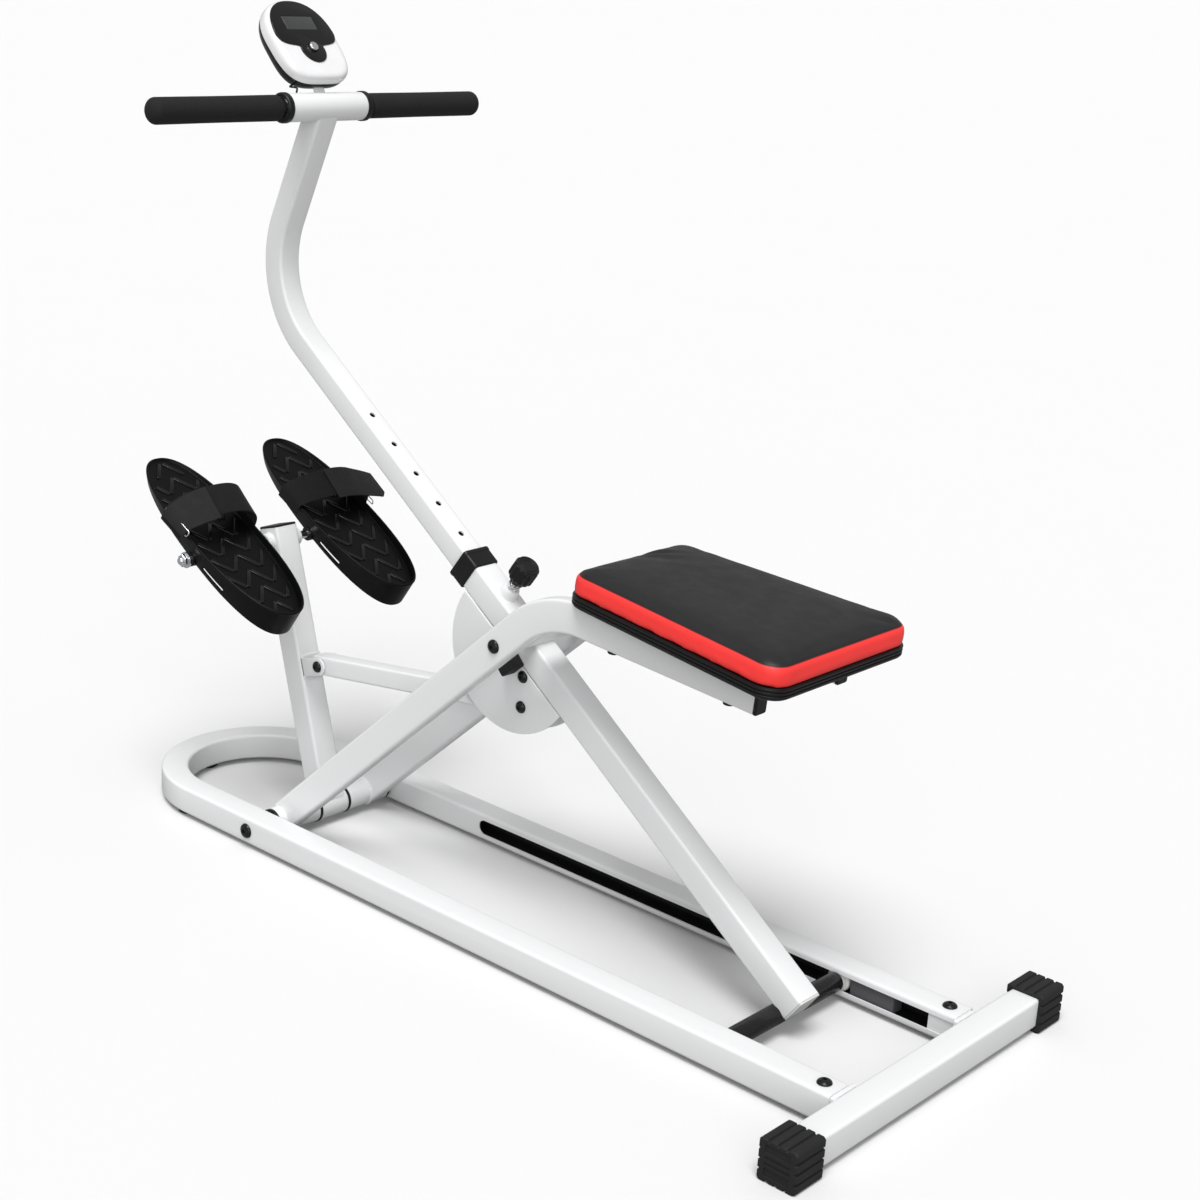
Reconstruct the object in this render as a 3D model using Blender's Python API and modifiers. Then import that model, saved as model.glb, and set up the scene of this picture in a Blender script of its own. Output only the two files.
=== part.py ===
"""Horse riding exercise machine: a seat frame and a handlebar mast that scissor on a U-shaped base.

The seat frame turns on the front axle. The mast tube hangs on the seat frame, and its lower end
carries an axle whose rollers run in the hollow base rails. A link pushes the pedal post, which
turns on the same front axle. Positions are worked out from the front axle, X to the rear, Z up,
and the object stands on Z = 0 with X = 0 midway along its length.
"""

import math

import bmesh
import bpy
from mathutils import Matrix, Vector

# Overall frame of the object, in metres.
FRONT_AXLE_X = -0.3875
FRONT_AXLE_Z = 0.027
GAP = 0.0003
WELD = 0.001

# Square tube that the base, the mast tube and the pedal post are made of.
TUBE = 0.040
WALL = 0.002
FILLET = 0.0045

# Base: two rails joined by a half-round bend at the front, a cross tube at the rear.
RAIL_Y = 0.133
BEND_CENTRE_X = -0.143
RAIL_END_X = 1.018
SLOT_START_X = 0.204
SLOT_HEIGHT = 0.022
CROSS_TUBE_X = 1.0446
CROSS_TUBE_HALF = 0.2795
CAP_SIDE = 0.0528
CAP_OUTER_Y = 0.285
CAP_LENGTH = 0.053
TONGUE_START_X = 0.978
RAIL_SCREW_X = 0.997
PAD_RADIUS = 0.014
PAD_PLACES = (("front", -0.276, 0.0), ("left", -0.158, -0.133), ("right", -0.158, 0.133))

# Front axle: a round bar through both rails, with three sleeves turning on it.
AXLE_RADIUS = 0.010
SLEEVE_RADIUS = 0.020
POST_SLEEVE_HALF = 0.025
RING_THICKNESS = 0.004
ARM_SLEEVE_END = 0.1042
AXLE_WASHER_END = 0.1095

# Seat frame: two bent flat tubes, rising from the front axle and levelling under the seat.
ARM_SECTION = (0.0213, 0.044, 0.004)
ARM_Y = 0.08175
ARM_ANGLE = math.radians(42.56)
ARM_RISE = 0.0013
ARM_START = 0.006
ARM_CORNER = (0.4905, 0.4520)
ARM_BEND_RADIUS = 0.140
SEAT_SLOPE = math.radians(4.2)
ARM_END_X = 0.822
SEAT_PIVOT = (0.4085, 0.3773)
SPACER_RADIUS = 0.009
PIVOT_BUSH_END = 0.0262
PIVOT_PIPE_HALF = 0.0225
PIVOT_PIPE_BORE = 0.0078

# Seat: a trapezoid, narrower at the front.
SEAT_FRONT_X = 0.533
SEAT_LENGTH = 0.348
SEAT_FRONT_HALF = 0.112
SEAT_REAR_HALF = 0.139
SEAT_CORNER = 0.030
SEAT_BASE_HEIGHT = 0.016
SEAT_SCREW_X = (0.600, 0.780)

# Mast tube: one straight tube, its centre line below the seat pivot. T runs down it to the rear.
MAST_ANGLE = math.radians(35.37)
MAST_BELOW_PIVOT = 0.0284
MAST_TOP_T = -0.150
MAST_END_T = 0.583
ROLLER_T = 0.5712
COLLAR_T = (-0.1533, -0.1248)
COLLAR_SIDE = 0.046
PIN_T = -0.0742
GUSSET_T = -0.0091
GUSSET_RADIUS = 0.110
GUSSET_Y = 0.0184
UPPER_BOLT = (0.0251, -0.029)
LINK_BOLT = (0.0493, -0.064)
REAR_AXLE_RADIUS = 0.013
ROLLER_RADIUS = 0.0165

# Handlebar post: slides in the mast tube and is bent to stand over the front.
POST = 0.035
POST_HOLE_PITCH = 0.055
POST_HOLES = 7
POST_HOLE_RADIUS = 0.0044
POST_LOWER_T = -0.012
POST_BEND_T = -0.5573
POST_BEND_RADIUS = 0.140
BAR = (-0.0425, 1.005)
BAR_SLEEVE_RADIUS = 0.019
BAR_SLEEVE_HALF = 0.066
BAR_RADIUS = 0.0125
GRIP_RADIUS = 0.01715
GRIP_START = 0.080
GRIP_END = 0.290

# Pedal post: leans to the front from the front axle.
PEDAL_POST_LEAN = math.radians(16.9)
PEDAL_POST_LENGTH = 0.416
PEDAL_AXLE_HEIGHT = 0.3966
PEDAL_AXLE_RADIUS = 0.006
LINK_PIVOT = (-0.008, 0.216)
LINK_SECTION = (0.026, 0.028, 0.003)
LINK_PIN_RADIUS = 0.005
LINK_PLAY = 0.0035
LINK_HOLE_SHIFT = (-0.00176, -0.00258)

# Pedals: long oval dishes, shallow at the toe and deep at the heel.
PEDAL_CENTRE = (-0.110, 0.408)
PEDAL_Y = 0.108
PEDAL_TILT = math.radians(27.2)
PEDAL_HALF_LENGTH = 0.173
PEDAL_HALF_WIDTH = 0.060
PEDAL_TOE_DEPTH = 0.010
PEDAL_HEEL_DEPTH = 0.044
DECK_TOE_DEPTH = 0.003
DECK_HEEL_DEPTH = 0.014
PEDAL_SKIN = 0.004
STRAP_CENTRE = -0.048
STRAP_WIDTH = 0.046
STRAP_RISE = 0.046
STRAP_THICKNESS = 0.003

# Console: an egg-shaped housing whose face looks up at the rider.
CONSOLE_CENTRE = (-0.0845, 1.087)
CONSOLE_TILT = math.radians(43.0)
CONSOLE_HALF_WIDTH = 0.0565
CONSOLE_HALF_HEIGHT = 0.066

# Finishes: base colour, roughness, metallic.
FINISHES = {
    "white_paint": ((0.80, 0.81, 0.82), 0.32, 0.0),
    "black_plastic": ((0.020, 0.020, 0.022), 0.45, 0.0),
    "gloss_black": ((0.012, 0.012, 0.014), 0.12, 0.0),
    "gloss_white": ((0.85, 0.85, 0.86), 0.15, 0.0),
    "black_rubber": ((0.022, 0.022, 0.023), 0.75, 0.0),
    "foam": ((0.020, 0.020, 0.021), 0.90, 0.0),
    "black_steel": ((0.018, 0.018, 0.020), 0.30, 0.6),
    "chrome": ((0.75, 0.76, 0.78), 0.12, 1.0),
    "nylon": ((0.72, 0.72, 0.70), 0.40, 0.0),
    "vinyl": ((0.022, 0.022, 0.024), 0.50, 0.0),
    "webbing": ((0.018, 0.018, 0.020), 0.85, 0.0),
    "screen": ((0.10, 0.11, 0.11), 0.10, 0.0),
    "grey_rubber": ((0.16, 0.16, 0.17), 0.70, 0.0),
}


def clear_scene():
    """Removes whatever the scene holds."""
    for obj in list(bpy.data.objects):
        bpy.data.objects.remove(obj, do_unlink=True)


def new_collection(name):
    """A collection linked to the scene."""
    collection = bpy.data.collections.new(name)
    bpy.context.scene.collection.children.link(collection)
    return collection


clear_scene()
PARTS = new_collection("horse_riding_exercise_machine")
CUTTERS = new_collection("cutters")
EMPTIES = {}


def point(x, y, z):
    """A position in the object's frame from one measured from the front axle."""
    return Vector((FRONT_AXLE_X + x, y, FRONT_AXLE_Z + z))


def mast_point(t, n, y=0.0):
    """A position T metres down the mast tube from the seat pivot, N above its centre line."""
    along = Vector((math.cos(MAST_ANGLE), 0, -math.sin(MAST_ANGLE)))
    up = Vector((math.sin(MAST_ANGLE), 0, math.cos(MAST_ANGLE)))
    pivot = point(SEAT_PIVOT[0], y, SEAT_PIVOT[1])
    return pivot + along * t + up * (n - MAST_BELOW_PIVOT)


def arm_point(distance, n, y=0.0):
    """A position along the lower run of the seat arms, N above their centre line."""
    along = Vector((math.cos(ARM_ANGLE), 0, math.sin(ARM_ANGLE)))
    up = Vector((-math.sin(ARM_ANGLE), 0, math.cos(ARM_ANGLE)))
    return point(0, y, 0) + along * distance + up * (ARM_RISE + n)


def post_point(distance, n, y=0.0):
    """A position up the pedal post from the front axle, N to the rear of its centre line."""
    along = Vector((-math.sin(PEDAL_POST_LEAN), 0, math.cos(PEDAL_POST_LEAN)))
    rear = Vector((math.cos(PEDAL_POST_LEAN), 0, math.sin(PEDAL_POST_LEAN)))
    return point(0, y, 0) + along * distance + rear * n


def seat_point(x, n, y=0.0):
    """A position on the seat's slope, N above the top faces of the arms."""
    drop = (x - ARM_CORNER[0]) * math.tan(SEAT_SLOPE)
    up = Vector((math.sin(SEAT_SLOPE), 0, math.cos(SEAT_SLOPE)))
    return point(x, y, ARM_CORNER[1] - drop) + up * (ARM_SECTION[1] / 2 + n)


def turn_y(angle):
    """Turns X towards Z by the angle."""
    return Matrix.Rotation(-angle, 4, "Y")


ALONG_Y = Matrix.Rotation(math.radians(-90), 4, "X")
UPRIGHT_PLATE = Matrix.Rotation(math.radians(90), 4, "X")


def joint_empty(name, location):
    """An empty on a joint's axis, which carries the pieces of its body."""
    empty = bpy.data.objects.new(name + "_joint", None)
    empty.empty_display_size = 0.03
    empty.location = location
    PARTS.objects.link(empty)
    EMPTIES[name] = empty
    return empty


def finish_object(name, mesh, finish, matrix, body):
    """Makes the object of a mesh, gives it its material and places it on its body."""
    obj = bpy.data.objects.new(name, mesh)
    colour, roughness, metallic = FINISHES[finish]
    material = bpy.data.materials.new(name + "_" + finish)
    material.use_nodes = True
    shader = material.node_tree.nodes["Principled BSDF"]
    shader.inputs["Base Color"].default_value = (*colour, 1)
    shader.inputs["Roughness"].default_value = roughness
    shader.inputs["Metallic"].default_value = metallic
    mesh.materials.clear()
    mesh.materials.append(material)
    PARTS.objects.link(obj)
    empty = EMPTIES[body]
    obj.parent = empty
    obj.matrix_local = Matrix.Translation(-empty.location) @ matrix
    mesh.shade_smooth()
    mesh.set_sharp_from_angle(angle=math.radians(35))
    return obj


def cutter(name, mesh, matrix):
    """A hidden helper that a Boolean reads."""
    obj = bpy.data.objects.new(name, mesh)
    obj.matrix_world = matrix
    obj.hide_render = True
    obj.display_type = "WIRE"
    CUTTERS.objects.link(obj)
    return obj


def boolean(obj, other, operation="DIFFERENCE"):
    """Adds a Boolean with another object."""
    modifier = obj.modifiers.new(operation.lower() + "_" + other.name, "BOOLEAN")
    modifier.operation = operation
    modifier.object = other
    modifier.solver = "EXACT"


def to_mesh(bm, name):
    """Writes a bmesh, with its faces pointing out, into a new mesh."""
    bmesh.ops.recalc_face_normals(bm, faces=bm.faces[:])
    mesh = bpy.data.meshes.new(name)
    bm.to_mesh(mesh)
    bm.free()
    return mesh


def arc(cx, cz, radius, start, end, steps):
    """Points on an arc, angles in degrees."""
    turn = (end - start) / steps
    angles = [math.radians(start + turn * i) for i in range(steps + 1)]
    return [(cx + radius * math.cos(a), cz + radius * math.sin(a)) for a in angles]


def rounded_rectangle(width, height, fillet, steps=2):
    """The outline of a tube's section."""
    x, z = width / 2 - fillet, height / 2 - fillet
    corners = ((x, z, 0), (-x, z, 90), (-x, -z, 180), (x, -z, 270))
    return [p for cx, cz, a in corners for p in arc(cx, cz, fillet, a, a + 90, steps)]


def box_mesh(name, size, bevel=0.0):
    """A box about its own middle, with its edges bevelled."""
    bm = bmesh.new()
    bmesh.ops.create_cube(bm, size=1)
    bmesh.ops.scale(bm, vec=size, verts=bm.verts)
    if bevel:
        bmesh.ops.bevel(bm, geom=bm.edges[:], offset=bevel, segments=2, affect="EDGES", profile=0.5)
    return to_mesh(bm, name)


def rod_mesh(name, radius, length, segments=16):
    """A cylinder about its own middle, along Z."""
    bm = bmesh.new()
    bmesh.ops.create_cone(
        bm, cap_ends=True, segments=segments, radius1=radius, radius2=radius, depth=length
    )
    return to_mesh(bm, name)


def turned(name, profile, finish, matrix, body, steps=16, closed=False):
    """A turned piece: a profile of (radius, height) points, outer side top to bottom."""
    bm = bmesh.new()
    verts = [bm.verts.new((r, 0, z)) for r, z in profile]
    pairs = list(zip(verts, verts[1:]))
    if closed:
        pairs.append((verts[-1], verts[0]))
    for a, b in pairs:
        bm.edges.new((a, b))
    mesh = bpy.data.meshes.new(name)
    bm.to_mesh(mesh)
    bm.free()
    obj = finish_object(name, mesh, finish, matrix, body)
    screw = obj.modifiers.new("screw", "SCREW")
    screw.axis = "Z"
    screw.steps = steps
    screw.render_steps = steps
    screw.use_merge_vertices = True
    screw.merge_threshold = 0.00001
    screw.use_smooth_shade = False
    return obj


def ring_profile(inner, outer, low, high):
    """A plain ring's closed profile."""
    return [(outer, high), (outer, low), (inner, low), (inner, high)]


def ring_mesh(name, inner, outer, length, segments=20):
    """A plain ring about its own middle, along Z."""
    rings = []
    for radius, z in ring_profile(inner, outer, -length / 2, length / 2):
        rings.append([(radius * math.cos(a), radius * math.sin(a), z) for a in circle(segments)])
    return loft_mesh(name, rings, closed=True)


def stepped_block(name, sections):
    """A block along X whose section changes in steps of (x, width, height)."""
    rings = []
    for x, width, height in sections:
        rings.append([(x, y, z) for y, z in rounded_rectangle(width, height, 0.0030, 1)])
    return loft_mesh(name, rings)


def plate_mesh(name, outlines, thickness):
    """A flat plate from outlines in XY, the first the edge and the rest its holes."""
    curve = bpy.data.curves.new(name, "CURVE")
    curve.dimensions = "2D"
    curve.fill_mode = "BOTH"
    curve.extrude = thickness / 2
    for outline in outlines:
        spline = curve.splines.new("POLY")
        spline.points.add(len(outline) - 1)
        for place, (x, y) in zip(spline.points, outline):
            place.co = (x, y, 0, 1)
        spline.use_cyclic_u = True
    obj = bpy.data.objects.new(name, curve)
    CUTTERS.objects.link(obj)
    bpy.context.view_layer.update()
    graph = bpy.context.evaluated_depsgraph_get()
    mesh = bpy.data.meshes.new_from_object(obj.evaluated_get(graph))
    bpy.data.objects.remove(obj, do_unlink=True)
    bpy.data.curves.remove(curve)
    bm = bmesh.new()
    bm.from_mesh(mesh)
    bpy.data.meshes.remove(mesh)
    bmesh.ops.remove_doubles(bm, verts=bm.verts[:], dist=0.00001)
    return to_mesh(bm, name)


def tube_mesh(name, section, legs, start, heading, hollow):
    """A tube of rounded section, pushed along straight and curved legs in its own XZ plane.

    A leg is (length,) or (radius, angle), a positive angle turning X towards Z. A hollow tube
    is left as an open surface for Solidify.
    """
    width, height, fillet = section
    bm = bmesh.new()
    direction = Vector((math.cos(heading), 0, math.sin(heading)))
    normal = Vector((-direction.z, 0, direction.x))
    place = Vector((start[0], 0, start[1]))
    outline = rounded_rectangle(width, height, fillet)
    ring = [bm.verts.new(place + Vector((0, y, 0)) + normal * n) for y, n in outline]
    edges = [bm.edges.new((ring[i - 1], ring[i])) for i in range(len(ring))]
    first = edges
    for leg in legs:
        if len(leg) == 1:
            move = direction * leg[0]
            grown = bmesh.ops.extrude_edge_only(bm, edges=edges)["geom"]
            bmesh.ops.translate(
                bm, vec=move, verts=[g for g in grown if isinstance(g, bmesh.types.BMVert)]
            )
            place = place + move
        else:
            radius, angle = leg
            centre = place + normal * math.copysign(radius, angle)
            steps = max(3, round(abs(math.degrees(angle)) / 11))
            grown = bmesh.ops.spin(
                bm, geom=edges, cent=centre, axis=(0, -1, 0), angle=angle, steps=steps
            )["geom_last"]
            turn = Matrix.Rotation(-angle, 3, "Y")
            place = centre + turn @ (place - centre)
            direction = turn @ direction
            normal = turn @ normal
        edges = [g for g in grown if isinstance(g, bmesh.types.BMEdge)]
        edges = [e for e in edges if len(e.link_faces) < 2]
    caps = bmesh.ops.edgeloop_fill(bm, edges=first)["faces"]
    caps += bmesh.ops.edgeloop_fill(bm, edges=edges)["faces"]
    bmesh.ops.recalc_face_normals(bm, faces=bm.faces[:])
    if hollow:
        bmesh.ops.delete(bm, geom=caps, context="FACES_ONLY")
    mesh = bpy.data.meshes.new(name)
    bm.to_mesh(mesh)
    bm.free()
    return mesh


def add_wall(obj, wall):
    """Gives an open surface its wall, on the inner side."""
    modifier = obj.modifiers.new("wall", "SOLIDIFY")
    modifier.thickness = wall
    modifier.offset = -1
    modifier.use_even_offset = True


def circle(steps):
    """Angles round a full turn."""
    return [2 * math.pi * i / steps for i in range(steps)]


def loft_mesh(name, rings, closed=False):
    """A skin over rings of equal point count, its ends filled or, if closed, joined."""
    bm = bmesh.new()
    loops = [[bm.verts.new(p) for p in ring] for ring in rings]
    count = len(rings[0])
    after = loops[1:] + loops[:1] if closed else loops[1:]
    for low, high in zip(loops, after):
        for i in range(count):
            j = (i + 1) % count
            bm.faces.new((low[i], low[j], high[j], high[i]))
    if not closed:
        bm.faces.new(loops[0])
        bm.faces.new(loops[-1])
    return to_mesh(bm, name)


def cross_hole(name, radius, place, length, segments=16):
    """A cutter for a hole along Y."""
    matrix = Matrix.Translation(place) @ ALONG_Y
    return cutter(name, rod_mesh(name, radius, length, segments), matrix)


def bolt_profile(shank, half_length, head=0.0085, rise=0.0048):
    """A button-headed bolt with a like head at each end, lying about its middle."""
    dome = [(0, half_length + rise), (head * 0.55, half_length + rise * 0.92)]
    dome += [(head * 0.9, half_length + rise * 0.5), (head, half_length + 0.0004)]
    dome += [(head, half_length), (shank, half_length)]
    return dome + [(r, -z) for r, z in reversed(dome)]


def make_empties():
    """One empty for each moving body, on its joint's axis."""
    joint_empty("base", point(0, 0, 0))
    joint_empty("seat_frame", point(0, 0, 0))
    joint_empty("mast", mast_point(0, MAST_BELOW_PIVOT))
    joint_empty("bar_post", mast_point(PIN_T, 0))
    joint_empty("handlebar", point(BAR[0], 0, BAR[1]))
    joint_empty("pin", mast_point(PIN_T, TUBE / 2))
    joint_empty("pin_knob", mast_point(PIN_T, 0.060))
    joint_empty("pedal_post", point(0, 0, 0))
    joint_empty("link", point(LINK_PIVOT[0], 0, LINK_PIVOT[1]))
    joint_empty("mode_button", console_place(0, 0, 0))
    for side, sign in (("left", -1), ("right", 1)):
        joint_empty("roller_" + side, mast_point(ROLLER_T, -MAST_BELOW_PIVOT, sign * RAIL_Y))
        joint_empty("pedal_" + side, post_point(PEDAL_AXLE_HEIGHT, 0, sign * PEDAL_Y))


def make_base_frame():
    """Rails and front bend in one hollow square tube, slotted for the rollers."""
    run = RAIL_END_X - BEND_CENTRE_X
    mesh = tube_mesh(
        "base_frame",
        (TUBE, TUBE, FILLET),
        [(run,), (RAIL_Y, math.radians(-180)), (run,)],
        (RAIL_END_X, -RAIL_Y),
        math.radians(180),
        True,
    )
    lie_flat = Matrix.Translation(point(0, 0, 0)) @ ALONG_Y
    obj = finish_object("base_frame", mesh, "white_paint", lie_flat, "base")
    add_wall(obj, WALL)
    inner_wall_y = RAIL_Y - TUBE / 2 + WALL / 2
    half = SLOT_HEIGHT / 2
    slot = arc(SLOT_START_X + half, 0, half, 90, 270, 8)
    slot += [(RAIL_END_X + 0.01, -half), (RAIL_END_X + 0.01, half)]
    for side, sign in (("left", -1), ("right", 1)):
        mesh = plate_mesh("slot_" + side, [slot], 0.005)
        matrix = Matrix.Translation(point(0, sign * inner_wall_y, 0)) @ UPRIGHT_PLATE
        boolean(obj, cutter("slot_" + side, mesh, matrix))
        hole = rod_mesh("rail_screw_hole_" + side, 0.0043, 0.012, 16)
        place = point(RAIL_SCREW_X, sign * RAIL_Y, TUBE / 2)
        boolean(obj, cutter("rail_screw_hole_" + side, hole, Matrix.Translation(place)))
    boolean(obj, cross_hole("front_axle_hole", 0.0084, point(0, 0, 0), 0.33))


def make_rear_stabiliser():
    """Cross tube, its ribbed rubber caps, and the bracket that plugs it into the rails."""
    mesh = tube_mesh(
        "cross_tube",
        (TUBE, TUBE, FILLET),
        [(2 * CROSS_TUBE_HALF,)],
        (-CROSS_TUBE_HALF, 0),
        0,
        True,
    )
    across = Matrix.Rotation(math.radians(90), 4, "Z")
    place = Matrix.Translation(point(CROSS_TUBE_X, 0, 0)) @ across
    obj = finish_object("cross_tube", mesh, "white_paint", place, "base")
    add_wall(obj, WALL)
    for side, sign in (("left", -1), ("right", 1)):
        make_end_cap(side, sign)
    face_x = CROSS_TUBE_X - TUBE / 2 - GAP
    strip = box_mesh("rear_bracket", (0.014, 2 * (RAIL_Y - TUBE / 2 - 0.001), 0.003))
    place = Matrix.Translation(point(face_x - 0.007, 0, -TUBE / 2 + 0.002))
    obj = finish_object("rear_bracket", strip, "white_paint", place, "base")
    tongue = TUBE - 2 * WALL - 0.0008
    end_gap = face_x - RAIL_END_X - GAP
    for side, sign in (("left", -1), ("right", 1)):
        sections = [(TONGUE_START_X, tongue, tongue), (face_x, tongue, tongue)]
        block = stepped_block("tongue_" + side, sections)
        place = Matrix.Translation(point(0, sign * RAIL_Y, 0))
        boolean(obj, cutter("tongue_" + side, block, place), "UNION")
        foot = box_mesh("bracket_foot_" + side, (end_gap, TUBE, TUBE - 0.002))
        place = Matrix.Translation(point(face_x - end_gap / 2, sign * (RAIL_Y - 0.006), 0))
        boolean(obj, cutter("bracket_foot_" + side, foot, place), "UNION")
    for side, sign in (("left", -1), ("right", 1)):
        hole = rod_mesh("tongue_hole_" + side, 0.0043, 0.030, 16)
        place = point(RAIL_SCREW_X, sign * RAIL_Y, TUBE / 2)
        boolean(obj, cutter("tongue_hole_" + side, hole, Matrix.Translation(place)))


def grooved_square(side, groove, depth, pitch):
    """A square outline with three grooves in each side, corners cut off."""
    half = side / 2
    corner = 0.003
    points = []
    for quarter in range(4):
        turn = Matrix.Rotation(math.radians(90 * quarter), 2)
        edge = [(-half + corner, -half)]
        for middle in (-pitch, 0, pitch):
            edge += [(middle - groove / 2, -half), (middle - groove / 2, -half + depth)]
            edge += [(middle + groove / 2, -half + depth), (middle + groove / 2, -half)]
        edge += [(half - corner, -half)]
        points += [tuple(turn @ Vector(p)) for p in edge]
    return points


def make_end_cap(side, sign):
    """Ribbed rubber foot that closes an end of the cross tube and stands on the floor."""
    name = "end_cap_" + side
    outline = grooved_square(CAP_SIDE, 0.004, 0.0025, 0.013)
    half = CAP_LENGTH / 2
    levels = ((-half, 0.96), (-half + 0.0015, 1.0), (half - 0.0015, 1.0), (half, 0.96))
    mesh = loft_mesh(name, [[(x * k, y * k, z) for x, y in outline] for z, k in levels])
    middle = point(CROSS_TUBE_X, sign * (CAP_OUTER_Y - half), -0.0006)
    obj = finish_object(name, mesh, "black_rubber", Matrix.Translation(middle) @ UPRIGHT_PLATE, "base")
    cavity = box_mesh(name + "_cavity", (TUBE + 2 * GAP, CAP_LENGTH, TUBE + 2 * GAP))
    shift = point(CROSS_TUBE_X, sign * (CAP_OUTER_Y - CAP_LENGTH / 2 - 0.005), 0)
    boolean(obj, cutter(name + "_cavity", cavity, Matrix.Translation(shift)))
    for index, (z, height) in enumerate(((0.0145, 0.011), (0.0038, 0.003), (-0.0038, 0.003), (-0.0145, 0.011))):
        panel = box_mesh(f"{name}_panel_{index}", (0.034, 0.003, height))
        place = point(CROSS_TUBE_X, sign * CAP_OUTER_Y, z)
        boolean(obj, cutter(f"{name}_panel_{index}", panel, Matrix.Translation(place)))


def make_base_hardware():
    """Rail screws, front foot pads and the grey stops in the rails behind the rollers."""
    profile = [(0, 0.0052), (0.005, 0.0049), (0.0085, 0.0028), (0.0098, 0.0003), (0.0040, 0.0003)]
    profile += [(0.0040, -0.0100), (0, -0.0100)]
    for side, sign in (("left", -1), ("right", 1)):
        place = Matrix.Translation(point(RAIL_SCREW_X, sign * RAIL_Y, TUBE / 2))
        turned("rail_screw_" + side, profile, "black_steel", place, "base", steps=16)
    height = FRONT_AXLE_Z - TUBE / 2 - GAP
    profile = [(0, height), (PAD_RADIUS, height), (PAD_RADIUS, 0.002), (PAD_RADIUS - 0.002, 0), (0, 0)]
    for name, x, y in PAD_PLACES:
        place = Matrix.Translation(point(x, y, -FRONT_AXLE_Z))
        turned("foot_pad_" + name, profile, "black_rubber", place, "base", steps=18)
    for side, sign in (("left", -1), ("right", 1)):
        name = "rail_stop_" + side
        place = Matrix.Translation(point(0.8925, sign * 0.130, -0.0042))
        finish_object(name, box_mesh(name, (0.066, 0.024, 0.027), 0.003), "grey_rubber", place, "base")


def make_front_axle():
    """The axle with its button heads, its washers, and the rings that part the sleeves."""
    outer = RAIL_Y + TUBE / 2 + GAP
    inner = RAIL_Y - TUBE / 2 - GAP
    half = [(0, outer + 0.0055), (0.006, outer + 0.0051), (0.0100, outer + 0.0028), (0.011, outer + 0.0004)]
    half += [(0.011, outer), (0.008, outer), (0.008, inner), (0.014, inner)]
    washer = ARM_SLEEVE_END + GAP
    half += [(0.014, AXLE_WASHER_END), (0.0195, AXLE_WASHER_END), (0.0195, washer), (AXLE_RADIUS, washer)]
    ring = POST_SLEEVE_HALF + GAP
    half += [(AXLE_RADIUS, ring + RING_THICKNESS), (0.021, ring + RING_THICKNESS), (0.021, ring)]
    half += [(AXLE_RADIUS, ring)]
    profile = half + [(r, -z) for r, z in reversed(half)]
    along = Matrix.Translation(point(0, 0, 0)) @ ALONG_Y
    turned("front_axle", profile, "black_steel", along, "base", steps=14)


def make_seat_arms():
    """Two bent flat tubes, welded to the sleeves at the front axle, with black end plugs."""
    corner_reach = math.hypot(*ARM_CORNER)
    tangent = ARM_BEND_RADIUS * math.tan((ARM_ANGLE + SEAT_SLOPE) / 2)
    level = (ARM_END_X - ARM_CORNER[0]) / math.cos(SEAT_SLOPE) - tangent
    legs = [
        (corner_reach - tangent - ARM_START,),
        (ARM_BEND_RADIUS, -(ARM_ANGLE + SEAT_SLOPE)),
        (level,),
    ]
    for side, sign in (("left", -1), ("right", 1)):
        name = "seat_arm_" + side
        start = arm_point(ARM_START, 0) - point(0, 0, 0)
        mesh = tube_mesh(name, ARM_SECTION, legs, (start.x, start.z), ARM_ANGLE, True)
        matrix = Matrix.Translation(point(0, sign * ARM_Y, 0))
        obj = finish_object(name, mesh, "white_paint", matrix, "seat_frame")
        add_wall(obj, WALL)
        place = point(0, sign * ARM_Y, 0)
        boolean(obj, cross_hole(name + "_saddle", SLEEVE_RADIUS - WELD, place, 0.03, 24))
        sleeve_start = POST_SLEEVE_HALF + RING_THICKNESS + 2 * GAP
        length = ARM_SLEEVE_END - sleeve_start
        sleeve = ring_mesh(name + "_sleeve", AXLE_RADIUS + 0.0004, SLEEVE_RADIUS, length)
        place = Matrix.Translation(point(0, sign * (sleeve_start + length / 2), 0)) @ ALONG_Y
        boolean(obj, cutter(name + "_sleeve", sleeve, place), "UNION")
        place = point(SEAT_PIVOT[0], sign * ARM_Y, SEAT_PIVOT[1])
        boolean(obj, cross_hole(name + "_pivot_hole", 0.0064, place, 0.03))
        for index, x in enumerate(SEAT_SCREW_X):
            hole = rod_mesh(f"{name}_screw_hole_{index}", 0.0034, 0.06, 12)
            place = seat_point(x, -ARM_SECTION[1] / 2, sign * ARM_Y)
            matrix = Matrix.Translation(place) @ turn_y(-SEAT_SLOPE)
            boolean(obj, cutter(f"{name}_screw_hole_{index}", hole, matrix))
    width, height, _ = ARM_SECTION
    stem_width = width - 2 * WALL - 0.0008
    stem_height = height - 2 * WALL - 0.0008
    sections = [(-0.014, stem_width - 0.002, stem_height - 0.002), (-0.010, stem_width, stem_height)]
    sections += [(GAP, stem_width, stem_height), (GAP, width, height), (0.0035, width, height)]
    sections += [(0.0048, width - 0.003, height - 0.003)]
    for side, sign in (("left", -1), ("right", 1)):
        name = "arm_plug_" + side
        place = seat_point(ARM_END_X, -height / 2, sign * ARM_Y)
        matrix = Matrix.Translation(place) @ turn_y(-SEAT_SLOPE)
        finish_object(name, stepped_block(name, sections), "black_plastic", matrix, "seat_frame")


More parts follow.
